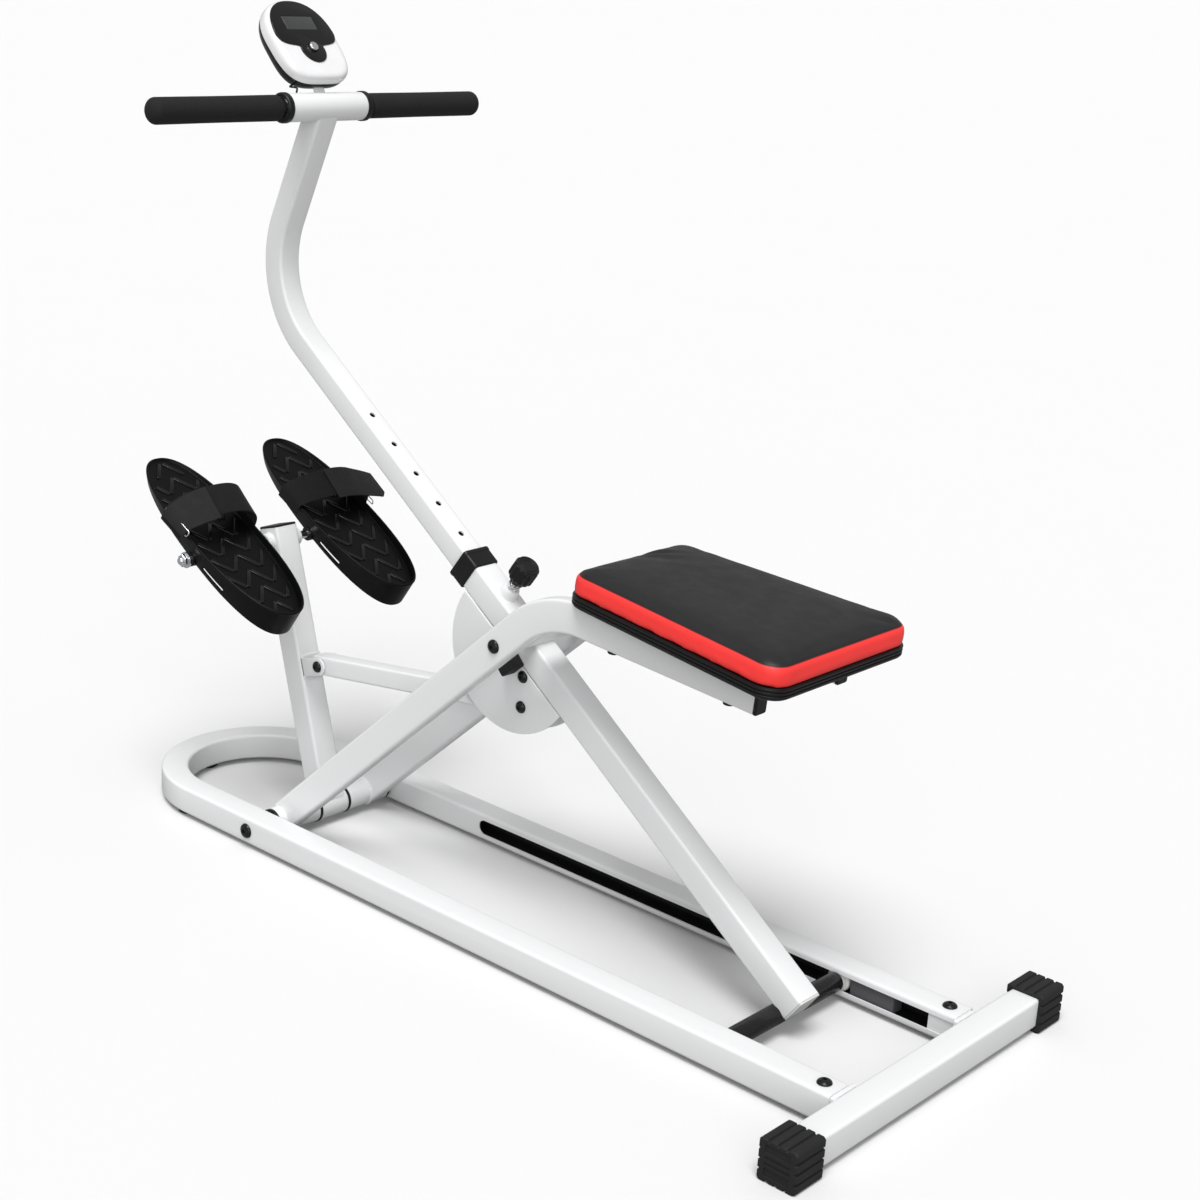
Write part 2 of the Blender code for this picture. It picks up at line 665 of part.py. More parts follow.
def make_seat_frame_fittings():
    """The curved brace under the bend, and the stepped bolt that carries the mast tube."""
    clear_width = 2 * (ARM_Y - ARM_SECTION[0] / 2 - GAP)
    offset = ARM_SECTION[1] / 2 - 0.0015
    tangent = ARM_BEND_RADIUS * math.tan((ARM_ANGLE + SEAT_SLOPE) / 2)
    bend_start = math.hypot(*ARM_CORNER) - tangent
    lead = 0.020
    place = arm_point(bend_start - lead, -offset) - point(0, 0, 0)
    legs = [(lead,), (ARM_BEND_RADIUS - offset, -(ARM_ANGLE + SEAT_SLOPE)), (0.050,)]
    mesh = tube_mesh("arm_brace", (clear_width, 0.003, 0.0012), legs, (place.x, place.z), ARM_ANGLE, False)
    finish_object("arm_brace", mesh, "white_paint", Matrix.Translation(point(0, 0, 0)), "seat_frame")
    at_pivot = Matrix.Translation(point(SEAT_PIVOT[0], 0, SEAT_PIVOT[1])) @ ALONG_Y
    outer = ARM_Y + ARM_SECTION[0] / 2 + GAP
    inner = ARM_Y - ARM_SECTION[0] / 2 - GAP
    half = [(0, outer + 0.005), (0.005, outer + 0.0047), (0.0085, outer + 0.0026)]
    half += [(0.0095, outer + 0.0004), (0.0095, outer), (0.006, outer), (0.006, inner)]
    half += [(SPACER_RADIUS, inner), (SPACER_RADIUS, PIVOT_BUSH_END + GAP), (0.006, PIVOT_BUSH_END + GAP)]
    profile = half + [(r, -z) for r, z in reversed(half)]
    turned("seat_pivot_bolt", profile, "black_steel", at_pivot, "seat_frame", steps=14)


def seat_outline(inset, steps=4):
    """The seat's outline from above about its middle: front narrower than rear, round corners."""
    radius = max(SEAT_CORNER - inset, 0.006)
    half = SEAT_LENGTH / 2 - inset - radius
    front = SEAT_FRONT_HALF - inset - radius
    rear = SEAT_REAR_HALF - inset - radius
    lean = math.degrees(math.atan2(rear - front, 2 * half))
    points = arc(half, rear, radius, 0, 90 + lean, steps)
    points += arc(-half, front, radius, 90 + lean, 180, steps)
    return points + [(x, -y) for x, y in reversed(points)]


def make_seat():
    """Ribbed base tray, padded cushion with a crowned top, and the screws through the arms."""
    middle = SEAT_FRONT_X + SEAT_LENGTH / 2
    matrix = Matrix.Translation(seat_point(middle, GAP)) @ turn_y(-SEAT_SLOPE)
    levels = ((0, 0.005), (0.002, 0.002), (0.0045, 0.002), (0.0045, 0.0005), (0.0075, 0.0005))
    levels += ((0.0075, 0.002), (0.0100, 0.002), (0.0100, 0.0005), (0.0130, 0.0005), (0.0130, 0.002))
    levels += ((SEAT_BASE_HEIGHT, 0.002),)
    rings = [[(x, y, z) for x, y in seat_outline(inset)] for z, inset in levels]
    obj = finish_object("seat_base", loft_mesh("seat_base", rings), "black_plastic", matrix, "seat_frame")
    under = ARM_SECTION[1] + GAP
    for side, sign in (("left", -1), ("right", 1)):
        for index, x in enumerate(SEAT_SCREW_X):
            name = f"seat_screw_{side}_{index}"
            shank = rod_mesh(name, 0.0030, under + 0.006, 8)
            shank.transform(Matrix.Translation((0, 0, (0.004 - under - 0.002) / 2)))
            place = Matrix.Translation(seat_point(x, 0, sign * ARM_Y)) @ turn_y(-SEAT_SLOPE)
            boolean(obj, cutter(name, shank, place), "UNION")
            head = rod_mesh(name + "_head", 0.0075, 0.004, 12)
            head.transform(Matrix.Translation((0, 0, -under - 0.002)))
            boolean(obj, cutter(name + "_head", head, place), "UNION")
    low = SEAT_BASE_HEIGHT + GAP
    crown = ((0, 0.003), (0.004, 0.0005), (0.012, -0.0008), (0.020, 0.0), (0.0265, 0.003))
    crown += ((0.031, 0.009), (0.0345, 0.020), (0.0375, 0.042), (0.0395, 0.075))
    rings = []
    for z, inset in crown:
        rings.append([(x, y, low + z) for x, y in seat_outline(inset)])
    mesh = loft_mesh("seat_cushion", rings)
    finish_object("seat_cushion", mesh, "vinyl", matrix, "seat_frame")


def make_mast():
    """The mast tube with its pivot pipe, half-round gussets, collar, boss and lower plug."""
    origin = Matrix.Translation(mast_point(0, 0)) @ turn_y(-MAST_ANGLE)
    length = MAST_END_T - MAST_TOP_T
    mesh = tube_mesh("mast_tube", (TUBE, TUBE, FILLET), [(length,)], (MAST_TOP_T, 0), 0, True)
    tube = finish_object("mast_tube", mesh, "white_paint", origin, "mast")
    add_wall(tube, WALL)
    axle = mast_point(ROLLER_T, -MAST_BELOW_PIVOT)
    boolean(tube, cross_hole("mast_axle_saddle", REAR_AXLE_RADIUS + GAP, axle, 0.06, 24))
    pivot = Matrix.Translation(mast_point(0, MAST_BELOW_PIVOT)) @ ALONG_Y
    pipe = ring_mesh("pivot_pipe", PIVOT_PIPE_BORE, 0.0095, 2 * PIVOT_PIPE_HALF)
    boolean(tube, cutter("pivot_pipe", pipe, pivot), "UNION")
    top_face = Matrix.Translation(mast_point(PIN_T, TUBE / 2)) @ turn_y(-MAST_ANGLE)
    rings = []
    for radius, z in ((0.0135, -WELD), (0.0125, 0.008), (0.0105, 0.013)):
        rings.append([(radius * math.cos(a), radius * math.sin(a), z) for a in circle(20)])
    boolean(tube, cutter("pin_boss", loft_mesh("pin_boss", rings), top_face), "UNION")
    boolean(tube, cutter("mast_pin_hole", rod_mesh("mast_pin_hole", 0.0064, 0.040), top_face))
    flange_end = PIVOT_PIPE_HALF + GAP
    for side, sign in (("left", -1), ("right", 1)):
        profile = [(0.0092, PIVOT_BUSH_END), (0.0135, PIVOT_BUSH_END - 0.0008), (0.0135, flange_end)]
        profile += [(PIVOT_PIPE_BORE - GAP, flange_end), (PIVOT_PIPE_BORE - GAP, flange_end - 0.010)]
        profile += [(0.0064, flange_end - 0.010), (0.0064, PIVOT_BUSH_END)]
        if sign < 0:
            profile = [(r, -y) for r, y in reversed(profile)]
        turned("pivot_bush_" + side, profile, "black_plastic", pivot, "mast", closed=True)
    make_gussets(origin)
    make_collar(origin)
    inside = TUBE - 2 * WALL - 0.0008
    flange = TUBE - 0.0006
    sections = [(MAST_END_T - 0.006, 0.030, inside), (MAST_END_T + GAP, 0.030, inside)]
    sections += [(MAST_END_T + GAP, flange, flange), (MAST_END_T + 0.0028, flange, flange)]
    finish_object("mast_plug", stepped_block("mast_plug", sections), "nylon", origin, "mast")
    boolean(bpy.data.objects["mast_plug"], cross_hole("plug_saddle", REAR_AXLE_RADIUS + GAP, axle, 0.06, 24))


def make_gussets(origin):
    """Half-round plates under the mast tube, their bolts and the rubber blocks beside them."""
    radius = GUSSET_RADIUS
    edge = -TUBE / 2 - GAP
    outline = arc(GUSSET_T, edge, radius, 180, 360, 28)
    holes = []
    for t, n in (UPPER_BOLT, LINK_BOLT):
        holes.append(arc(t, n, LINK_PIN_RADIUS + 0.0004, 0, 330, 11))
    for side, sign in (("left", -1), ("right", 1)):
        name = "gusset_" + side
        mesh = plate_mesh(name, [outline] + holes, 0.003)
        mesh.transform(UPRIGHT_PLATE)
        mesh.transform(Matrix.Translation((0, sign * GUSSET_Y, 0)))
        finish_object(name, mesh, "white_paint", origin, "mast")
    head = GUSSET_Y + 0.0015 + GAP
    for name, (t, n) in (("upper_bolt", UPPER_BOLT), ("link_bolt", LINK_BOLT)):
        place = origin @ Matrix.Translation((t, 0, n)) @ ALONG_Y
        turned(name, bolt_profile(LINK_PIN_RADIUS, head), "black_steel", place, "mast", steps=12)
    along = Vector((math.cos(ARM_ANGLE), 0, math.sin(ARM_ANGLE)))
    up = Vector((-math.sin(ARM_ANGLE), 0, math.cos(ARM_ANGLE)))
    middle = mast_point(*UPPER_BOLT) + along * 0.002 + up * 0.0215
    for side, sign in (("left", -1), ("right", 1)):
        name = "rubber_block_" + side
        place = middle + Vector((0, sign * (head + 0.0172), 0))
        matrix = Matrix.Translation(place) @ turn_y(ARM_ANGLE)
        block = box_mesh(name, (0.024, 0.034, 0.022), 0.0015)
        finish_object(name, block, "black_rubber", matrix, "mast")


def make_collar(origin):
    """Black collar round the top of the mast tube, guiding the handlebar post."""
    low, high = COLLAR_T
    length = high - low
    mesh = box_mesh("mast_collar", (length, COLLAR_SIDE, COLLAR_SIDE), 0.003)
    mesh.transform(Matrix.Translation(((low + high) / 2, 0, 0)))
    obj = finish_object("mast_collar", mesh, "black_plastic", origin, "mast")
    cup = box_mesh("collar_cup", (length, TUBE + 2 * GAP, TUBE + 2 * GAP))
    start = MAST_TOP_T - GAP
    place = origin @ Matrix.Translation((start + length / 2, 0, 0))
    boolean(obj, cutter("collar_cup", cup, place))
    bore = box_mesh("collar_bore", (0.02, POST + 0.0008, POST + 0.0008))
    boolean(obj, cutter("collar_bore", bore, origin @ Matrix.Translation((low, 0, 0))))


def make_rear_axle():
    """The axle under the mast tube's end, and the rollers that run inside the rails."""
    place = Matrix.Translation(mast_point(ROLLER_T, -MAST_BELOW_PIVOT)) @ ALONG_Y
    half = [(0, 0.1465), (0.0100, 0.1465), (0.0100, 0.1430), (0.0080, 0.1430)]
    half += [(0.0080, 0.1110), (REAR_AXLE_RADIUS, 0.1110)]
    turned("rear_axle", half + [(r, -y) for r, y in reversed(half)], "black_steel", place, "mast")
    for side, sign in (("left", -1), ("right", 1)):
        profile = [(0.0145, 0.142), (ROLLER_RADIUS, 0.140), (ROLLER_RADIUS, 0.1185), (0.0145, 0.1165)]
        profile += [(0.0096, 0.1165), (0.0096, 0.1115), (0.0084, 0.1115), (0.0084, 0.142)]
        if sign < 0:
            profile = [(r, -y) for r, y in reversed(profile)]
        mesh_place = Matrix.Translation(mast_point(ROLLER_T, -MAST_BELOW_PIVOT)) @ ALONG_Y
        turned("roller_" + side, profile, "nylon", mesh_place, "roller_" + side, closed=True)


def make_pin():
    """Spring pin that locks the post, and its fluted knob."""
    upright = turn_y(-MAST_ANGLE)
    place = Matrix.Translation(mast_point(PIN_T, TUBE / 2)) @ upright
    profile = [(0.0044, 0.026), (0.0060, 0.026), (0.0060, 0.0195), (0.0088, 0.0195), (0.0088, 0.0137)]
    profile += [(0.0060, 0.0137), (0.0060, -0.0010), (0.0044, -0.0010)]
    turned("pin_housing", profile, "chrome", place, "mast", steps=16, closed=True)
    profile = [(0, 0.0262), (0.0040, 0.0262), (0.0040, -0.0012), (0.0036, -0.0020), (0, -0.0021)]
    turned("lock_pin", profile, "chrome", place, "pin", steps=14)
    flutes = 12
    outline = []
    for i in range(flutes * 4):
        angle = 2 * math.pi * i / (flutes * 4)
        radius = 0.0158 + 0.0009 * math.cos(flutes * angle)
        outline.append((radius * math.cos(angle), radius * math.sin(angle)))
    low, high = 0.0263, 0.059
    levels = ((low, 0.72), (low + 0.006, 0.74), (low + 0.007, 0.97), (low + 0.009, 1.0), (high - 0.002, 1.0))
    levels += ((high, 0.93),)
    rings = [[(x * scale, y * scale, z) for x, y in outline] for z, scale in levels]
    finish_object("pin_knob", loft_mesh("pin_knob", rings), "black_plastic", place, "pin_knob")


def make_bar_post():
    """The sliding post with its row of holes, and the sleeve that carries the handlebar."""
    straight = POST_LOWER_T - POST_BEND_T
    start = mast_point(POST_LOWER_T, 0) - point(0, 0, 0)
    bend_end = mast_point(POST_BEND_T, 0) - point(0, 0, 0)
    up = Vector((math.sin(MAST_ANGLE), 0, math.cos(MAST_ANGLE)))
    centre = bend_end + up * POST_BEND_RADIUS
    to_bar = Vector((BAR[0], 0, BAR[1])) - centre
    reach = to_bar.length
    run = math.sqrt(reach * reach - POST_BEND_RADIUS * POST_BEND_RADIUS)
    direction = math.atan2(to_bar.z, to_bar.x) - math.asin(POST_BEND_RADIUS / reach)
    heading = math.pi - MAST_ANGLE
    legs = [(straight,), (POST_BEND_RADIUS, direction - heading), (run,)]
    mesh = tube_mesh("bar_post", (POST, POST, FILLET), legs, (start.x, start.z), heading, True)
    matrix = Matrix.Translation(point(0, 0, 0))
    obj = finish_object("bar_post", mesh, "white_paint", matrix, "bar_post")
    add_wall(obj, WALL)
    bar = point(BAR[0], 0, BAR[1])
    along = Matrix.Translation(bar) @ ALONG_Y
    boolean(obj, cross_hole("post_saddle", BAR_SLEEVE_RADIUS - WELD, bar, 0.06, 24))
    sleeve = ring_mesh("bar_sleeve", 0.0168, BAR_SLEEVE_RADIUS, 2 * BAR_SLEEVE_HALF)
    boolean(obj, cutter("bar_sleeve", sleeve, along), "UNION")
    for index in range(POST_HOLES):
        hole = rod_mesh(f"post_hole_{index}", POST_HOLE_RADIUS, 0.012, 16)
        place = mast_point(PIN_T - index * POST_HOLE_PITCH, POST / 2)
        boolean(obj, cutter(f"post_hole_{index}", hole, Matrix.Translation(place) @ turn_y(-MAST_ANGLE)))
    inner = BAR_RADIUS + 0.0004
    end = BAR_SLEEVE_HALF
    for side, sign in (("left", -1), ("right", 1)):
        profile = [(0.0185, end + 0.0095), (0.0203, end + 0.0075), (0.0203, end + GAP)]
        profile += [(0.0164, end + GAP), (0.0164, end - 0.012), (inner, end - 0.012)]
        profile += [(inner, end + 0.0095)]
        if sign < 0:
            profile = [(r, -y) for r, y in reversed(profile)]
        turned("bar_bush_" + side, profile, "black_plastic", along, "bar_post", closed=True)


def make_handlebar():
    """The bar that turns in the bushes, with a closed-end foam grip on each side."""
    along = Matrix.Translation(point(BAR[0], 0, BAR[1])) @ ALONG_Y
    end = GRIP_END - 0.014
    profile = [(0, end), (BAR_RADIUS, end), (BAR_RADIUS, -end), (0, -end)]
    turned("handlebar", profile, "chrome", along, "handlebar")
    for side, sign in (("left", -1), ("right", 1)):
        inner = BAR_RADIUS + GAP
        profile = [(0, GRIP_END), (0.010, GRIP_END), (0.0150, GRIP_END - 0.0020)]
        profile += [(GRIP_RADIUS, GRIP_END - 0.0065)]
        profile += [(GRIP_RADIUS, GRIP_START + 0.002), (GRIP_RADIUS - 0.002, GRIP_START)]
        profile += [(inner, GRIP_START), (inner, end + 0.001), (0, end + 0.001)]
        if sign < 0:
            profile = [(r, -y) for r, y in reversed(profile)]
        turned("grip_" + side, profile, "foam", along, "handlebar")


def make_pedal_post():
    """The leaning pedal post, its sleeve, cap, pedal axle and the bracket for the link."""
    start = post_point(0.008, 0) - point(0, 0, 0)
    lean = math.pi / 2 + PEDAL_POST_LEAN
    length = PEDAL_POST_LENGTH - 0.008
    mesh = tube_mesh("pedal_post", (TUBE, TUBE, FILLET), [(length,)], (start.x, start.z), lean, True)
    obj = finish_object("pedal_post", mesh, "white_paint", Matrix.Translation(point(0, 0, 0)), "pedal_post")
    add_wall(obj, WALL)
    boolean(obj, cross_hole("pedal_post_saddle", SLEEVE_RADIUS - WELD, point(0, 0, 0), 0.06, 24))
    along = Matrix.Translation(point(0, 0, 0)) @ ALONG_Y
    sleeve = ring_mesh("post_sleeve", AXLE_RADIUS + 0.0004, SLEEVE_RADIUS, 2 * POST_SLEEVE_HALF)
    boolean(obj, cutter("post_sleeve", sleeve, along), "UNION")
    pivot = post_point(PEDAL_AXLE_HEIGHT, 0)
    for side, sign in (("left", -1), ("right", 1)):
        boss = rod_mesh("pedal_boss_" + side, 0.013, 0.011 + WELD, 20)
        place = pivot + Vector((0, sign * (TUBE / 2 + 0.0055 - WELD / 2), 0))
        boolean(obj, cutter("pedal_boss_" + side, boss, Matrix.Translation(place) @ ALONG_Y), "UNION")
    make_link_bracket(obj)
    boolean(obj, cross_hole("pedal_axle_hole", PEDAL_AXLE_RADIUS + 0.0004, pivot, 0.08))
    cap = box_mesh("post_cap", (TUBE - 0.0006, TUBE - 0.0006, 0.003), 0.001)
    place = Matrix.Translation(post_point(PEDAL_POST_LENGTH + GAP + 0.0015, 0)) @ turn_y(PEDAL_POST_LEAN)
    finish_object("post_cap", cap, "black_plastic", place, "pedal_post")
    outer = PEDAL_Y + PEDAL_HALF_WIDTH
    half = [(0, outer + 0.017), (0.005, outer + 0.017), (0.005, outer + 0.0125), (0.0092, outer + 0.0115)]
    half += [(0.0092, outer + 0.005), (0.0115, outer + 0.005), (0.0115, outer + 0.003)]
    half += [(PEDAL_AXLE_RADIUS, outer + 0.003)]
    profile = half + [(r, -y) for r, y in reversed(half)]
    turned("pedal_axle", profile, "chrome", Matrix.Translation(pivot) @ ALONG_Y, "pedal_post", steps=14)


def make_link_bracket(obj):
    """U bracket welded to the post's rear face, with round ears, and its bolt."""
    pivot = point(LINK_PIVOT[0], 0, LINK_PIVOT[1])
    rise = LINK_PIVOT[1] * math.cos(PEDAL_POST_LEAN) - LINK_PIVOT[0] * math.sin(PEDAL_POST_LEAN)
    reach = LINK_PIVOT[0] * math.cos(PEDAL_POST_LEAN) + LINK_PIVOT[1] * math.sin(PEDAL_POST_LEAN)
    matrix = Matrix.Translation(point(0, 0, 0)) @ turn_y(PEDAL_POST_LEAN)
    face = TUBE / 2 - WELD
    ear_radius = 0.0135
    mesh = box_mesh("bracket_base", (0.003 + WELD, 0.0366, 2 * ear_radius + 0.006))
    mesh.transform(Matrix.Translation((face + (0.003 + WELD) / 2, 0, rise)))
    boolean(obj, cutter("bracket_base", mesh, matrix), "UNION")
    outline = arc(reach, rise, ear_radius, -90, 90, 10)
    outline += [(face + 0.0025, rise + ear_radius), (face + 0.0025, rise - ear_radius)]
    hole = arc(reach, rise, LINK_PIN_RADIUS + 0.0004, 0, 330, 11)
    for side, sign in (("left", -1), ("right", 1)):
        ear = plate_mesh("bracket_ear_" + side, [outline, hole], 0.003)
        ear.transform(UPRIGHT_PLATE)
        ear.transform(Matrix.Translation((0, sign * 0.0168, 0)))
        boolean(obj, cutter("bracket_ear_" + side, ear, matrix), "UNION")
    profile = bolt_profile(LINK_PIN_RADIUS, 0.0183 + GAP)
    turned("bracket_bolt", profile, "black_steel", Matrix.Translation(pivot) @ ALONG_Y, "pedal_post", steps=12)


def make_link():
    """The link from the pedal post to the gussets, its rear hole left with play."""
    front = Vector((LINK_PIVOT[0], 0, LINK_PIVOT[1]))
    rear = mast_point(*LINK_BOLT) - point(0, 0, 0)
    span = rear - front
    heading = math.atan2(span.z, span.x)
    lead = 0.013
    start = front - span.normalized() * lead
    mesh = tube_mesh("push_link", LINK_SECTION, [(span.length + 2 * lead,)], (start.x, start.z), heading, True)
    obj = finish_object("push_link", mesh, "white_paint", Matrix.Translation(point(0, 0, 0)), "link")
    add_wall(obj, 0.002)
    front_hole = cross_hole("link_front_hole", LINK_PIN_RADIUS + 0.0004, point(*front), 0.05)
    boolean(obj, front_hole)
    along = span.normalized()
    across = Vector((-along.z, 0, along.x))
    rear = rear + along * LINK_HOLE_SHIFT[0] + across * LINK_HOLE_SHIFT[1]
    boolean(obj, cross_hole("link_rear_hole", LINK_PIN_RADIUS + LINK_PLAY, point(*rear), 0.05))


def pedal_ring(inset, toe_depth, heel_depth, steps=30):
    """A ring of the pedal's oval outline, its depth growing from toe to heel."""
    ring = []
    power = 2 / 2.3
    for angle in circle(steps):
        c, s = math.cos(angle), math.sin(angle)
        u = (PEDAL_HALF_LENGTH - inset) * math.copysign(abs(c) ** power, c)
        v = (PEDAL_HALF_WIDTH - inset) * math.copysign(abs(s) ** power, s)
        share = (u + PEDAL_HALF_LENGTH) / (2 * PEDAL_HALF_LENGTH)
        ring.append((u, v, -(toe_depth + (heel_depth - toe_depth) * share)))
    return ring


def make_pedals():
    """Moulded pedal dishes on the pedal axle, each with a webbing strap over its front."""
    axle = post_point(PEDAL_AXLE_HEIGHT, 0)
    for side, sign in (("left", -1), ("right", 1)):
        middle = point(PEDAL_CENTRE[0], sign * PEDAL_Y, PEDAL_CENTRE[1])
        matrix = Matrix.Translation(middle) @ turn_y(-PEDAL_TILT)
        name = "pedal_" + side
        under = PEDAL_SKIN
        rings = [
            pedal_ring(0.010, DECK_TOE_DEPTH + under, DECK_HEEL_DEPTH + under),
            pedal_ring(0.009, PEDAL_TOE_DEPTH, PEDAL_HEEL_DEPTH),
            pedal_ring(0.005, PEDAL_TOE_DEPTH, PEDAL_HEEL_DEPTH),
            pedal_ring(0.0008, 0.004, 0.004),
            pedal_ring(0.0, 0.0015, 0.0015),
            pedal_ring(0.0015, 0, 0),
            pedal_ring(0.0035, 0, 0),
            pedal_ring(0.0055, DECK_TOE_DEPTH, DECK_HEEL_DEPTH),
        ]
        obj = finish_object(name, loft_mesh(name, rings), "black_plastic", matrix, name)
        tunnel_place = Vector((axle.x, sign * PEDAL_Y, axle.z))
        tunnel_length = 2 * PEDAL_HALF_WIDTH - 0.006
        tunnel = cross_hole(name + "_tunnel", 0.0105, tunnel_place, tunnel_length)
        boolean(obj, tunnel, "UNION")
        bore = cross_hole(name + "_bore", PEDAL_AXLE_RADIUS + 0.0004, tunnel_place, 0.14)
        boolean(obj, bore)
        slit = box_mesh(name + "_slit", (0.044, 0.14, 0.0032))
        slit_matrix = matrix @ Matrix.Translation((0.058, 0, -0.0235)) @ turn_y(-math.radians(5))
        boolean(obj, cutter(name + "_slit", slit, slit_matrix))
        make_strap(side, matrix)


def make_strap(side, matrix):
    """Webbing over the instep: a flat band in an arch, its ends outside the dish."""
    outer_half = PEDAL_HALF_WIDTH + 0.004
    inner_half = outer_half - STRAP_THICKNESS
    low = -0.012
    outline = [(outer_half, low)] + arch(outer_half, STRAP_RISE) + [(-outer_half, low)]
    outline += [(-inner_half, low)] + arch(inner_half, STRAP_RISE - STRAP_THICKNESS)[::-1] + [(inner_half, low)]
    name = "strap_" + side
    mesh = plate_mesh(name, [outline], STRAP_WIDTH)
    stand = Matrix.Rotation(math.radians(90), 4, "Z") @ Matrix.Rotation(math.radians(90), 4, "X")
    mesh.transform(Matrix.Translation((STRAP_CENTRE, 0, 0)) @ stand)
    finish_object(name, mesh, "webbing", matrix, "pedal_" + side)


def arch(half, rise, steps=14):
    """Points of a flat-topped arch from +half to -half."""
    points = []
    for i in range(steps + 1):
        angle = math.pi * i / steps
        points.append((half * math.cos(angle), rise * math.sin(angle) ** 0.8))
    return points


def console_place(u, v, n):
    """A position on the console: U across, V up its face, N out of it."""
    up = Vector((-math.sin(CONSOLE_TILT), 0, math.cos(CONSOLE_TILT)))
    out = Vector((math.cos(CONSOLE_TILT), 0, math.sin(CONSOLE_TILT)))
    return point(CONSOLE_CENTRE[0], 0, CONSOLE_CENTRE[1]) + Vector((0, u, 0)) + up * v + out * n


def console_matrix():
    """Local X across the console, Y up its face, Z out of the face."""
    up = Vector((-math.sin(CONSOLE_TILT), 0, math.cos(CONSOLE_TILT)))
    out = Vector((math.cos(CONSOLE_TILT), 0, math.sin(CONSOLE_TILT)))
    across = Vector((0, 1, 0))
    turn = Matrix((across, up, out)).transposed().to_4x4()
    return Matrix.Translation(console_place(0, 0, 0)) @ turn


def egg(inset, steps=28):
    """The console's outline: round at the top, squarer at the bottom."""
    points = []
    for angle in circle(steps):
        c, s = math.cos(angle), math.sin(angle)
        power = 2 / 2.3 if s >= 0 else 2 / 3.6
        x = (CONSOLE_HALF_WIDTH - inset) * math.copysign(abs(c) ** power, c)
        y = (CONSOLE_HALF_HEIGHT - inset) * math.copysign(abs(s) ** power, s)
        points.append((x, y))
    return points


def make_console():
    """Back shell, white front shell, black fascia, window, button, bracket and short lead."""
    matrix = console_matrix()
    back_levels = ((-0.026, 0.017), (-0.0245, 0.010), (-0.019, 0.004), (-0.012, 0.001), (-0.0093, 0.0005))
    rings = [[(x, y, z) for x, y in egg(inset)] for z, inset in back_levels]
    back = finish_object("console_back", loft_mesh("console_back", rings), "black_plastic", matrix, "bar_post")
    front_levels = ((-0.009, 0.0), (-0.004, 0.0), (0.0, 0.0015), (0.0045, 0.0065), (0.0075, 0.016))
    rings = [[(x, y, z) for x, y in egg(inset)] for z, inset in front_levels]
    mesh = loft_mesh("console_front", rings)
    front = finish_object("console_front", mesh, "gloss_white", matrix, "bar_post")
    fascia_outline = fascia_points()
    mesh = plate_mesh("console_fascia", [fascia_outline], 0.0022)
    mesh.transform(Matrix.Translation((0, 0, 0.0075 + GAP + 0.0011)))
    fascia = finish_object("console_fascia", mesh, "gloss_black", matrix, "bar_post")
    window = box_mesh("window_hole", (0.0536, 0.0226, 0.01))
    boolean(fascia, cutter("window_hole", window, matrix @ Matrix.Translation((0, 0.024, 0.009))))
    glass = box_mesh("console_screen", (0.053, 0.022, 0.0016), 0.0003)
    glass.transform(Matrix.Translation((0, 0.024, 0.0075 + GAP + 0.0008)))
    finish_object("console_screen", glass, "screen", matrix, "bar_post")
    button_y = -0.017
    well = rod_mesh("button_well", 0.0072, 0.012, 24)
    boolean(fascia, cutter("button_well", well, matrix @ Matrix.Translation((0, button_y, 0.009))))
    well = rod_mesh("button_pocket", 0.0072, 0.008, 24)
    boolean(front, cutter("button_pocket", well, matrix @ Matrix.Translation((0, button_y, 0.0075))))
    profile = [(0, 0.0150), (0.0050, 0.0148), (0.0066, 0.0138), (0.0068, 0.0060), (0, 0.0060)]
    place = matrix @ Matrix.Translation((0, button_y, 0))
    turned("mode_button", profile, "chrome", place, "mode_button", steps=24)
    make_console_bracket(back, matrix)
    make_console_lead(matrix)


def fascia_points():
    """The black fascia: the upper face, with a lobe down round the button."""
    top = [(x, y) for x, y in egg(0.0175, 32) if y > 0.002]
    lobe = arc(0, -0.0165, 0.0165, 180, 360, 12)
    left = [(-0.0375, -0.001), (-0.030, -0.006), (-0.021, -0.007)]
    right = [(0.021, -0.007), (0.030, -0.006), (0.0375, -0.001)]
    return top + left + lobe + right


def make_console_bracket(back, matrix):
    """A flat tab from the handlebar sleeve up into a slot in the console's back shell."""
    bar = point(BAR[0], 0, BAR[1])
    entry = console_place(0, -0.0640, -0.0165)
    foot = bar + (entry - bar).normalized() * (BAR_SLEEVE_RADIUS + GAP)
    inside = console_place(0, -0.030, -0.0165)
    direction = (entry - foot).normalized()
    normal = Vector((direction.z, 0, -direction.x))
    thickness = 0.0015
    side = Vector((math.cos(CONSOLE_TILT), 0, math.sin(CONSOLE_TILT)))
    outline = [foot - normal * thickness, foot + normal * thickness, entry + side * thickness]
    outline += [inside + side * thickness, inside - side * thickness, entry - side * thickness]
    flat = [(p.x, p.z) for p in outline]
    mesh = plate_mesh("console_bracket", [flat], 0.018)
    mesh.transform(UPRIGHT_PLATE)
    finish_object("console_bracket", mesh, "white_paint", Matrix.Identity(4), "bar_post")
    slot = box_mesh("bracket_slot", (0.0188, 0.042, 0.0040))
    place = matrix @ Matrix.Translation((0, -0.0503, -0.0165))
    boolean(back, cutter("bracket_slot", slot, place))


def smooth_route(points, steps):
    """Points of a smooth curve through the route's own points."""
    padded = [points[0] * 2 - points[1], *points, points[-1] * 2 - points[-2]]
    route = []
    for a, b, c, d in zip(padded, padded[1:], padded[2:], padded[3:]):
        for i in range(steps):
            t = i / steps
            bend = (2 * a - 5 * b + 4 * c - d) * t * t + (3 * b - a - 3 * c + d) * t ** 3
            route.append(0.5 * (2 * b + (c - a) * t + bend))
    route.append(points[-1])
    return route


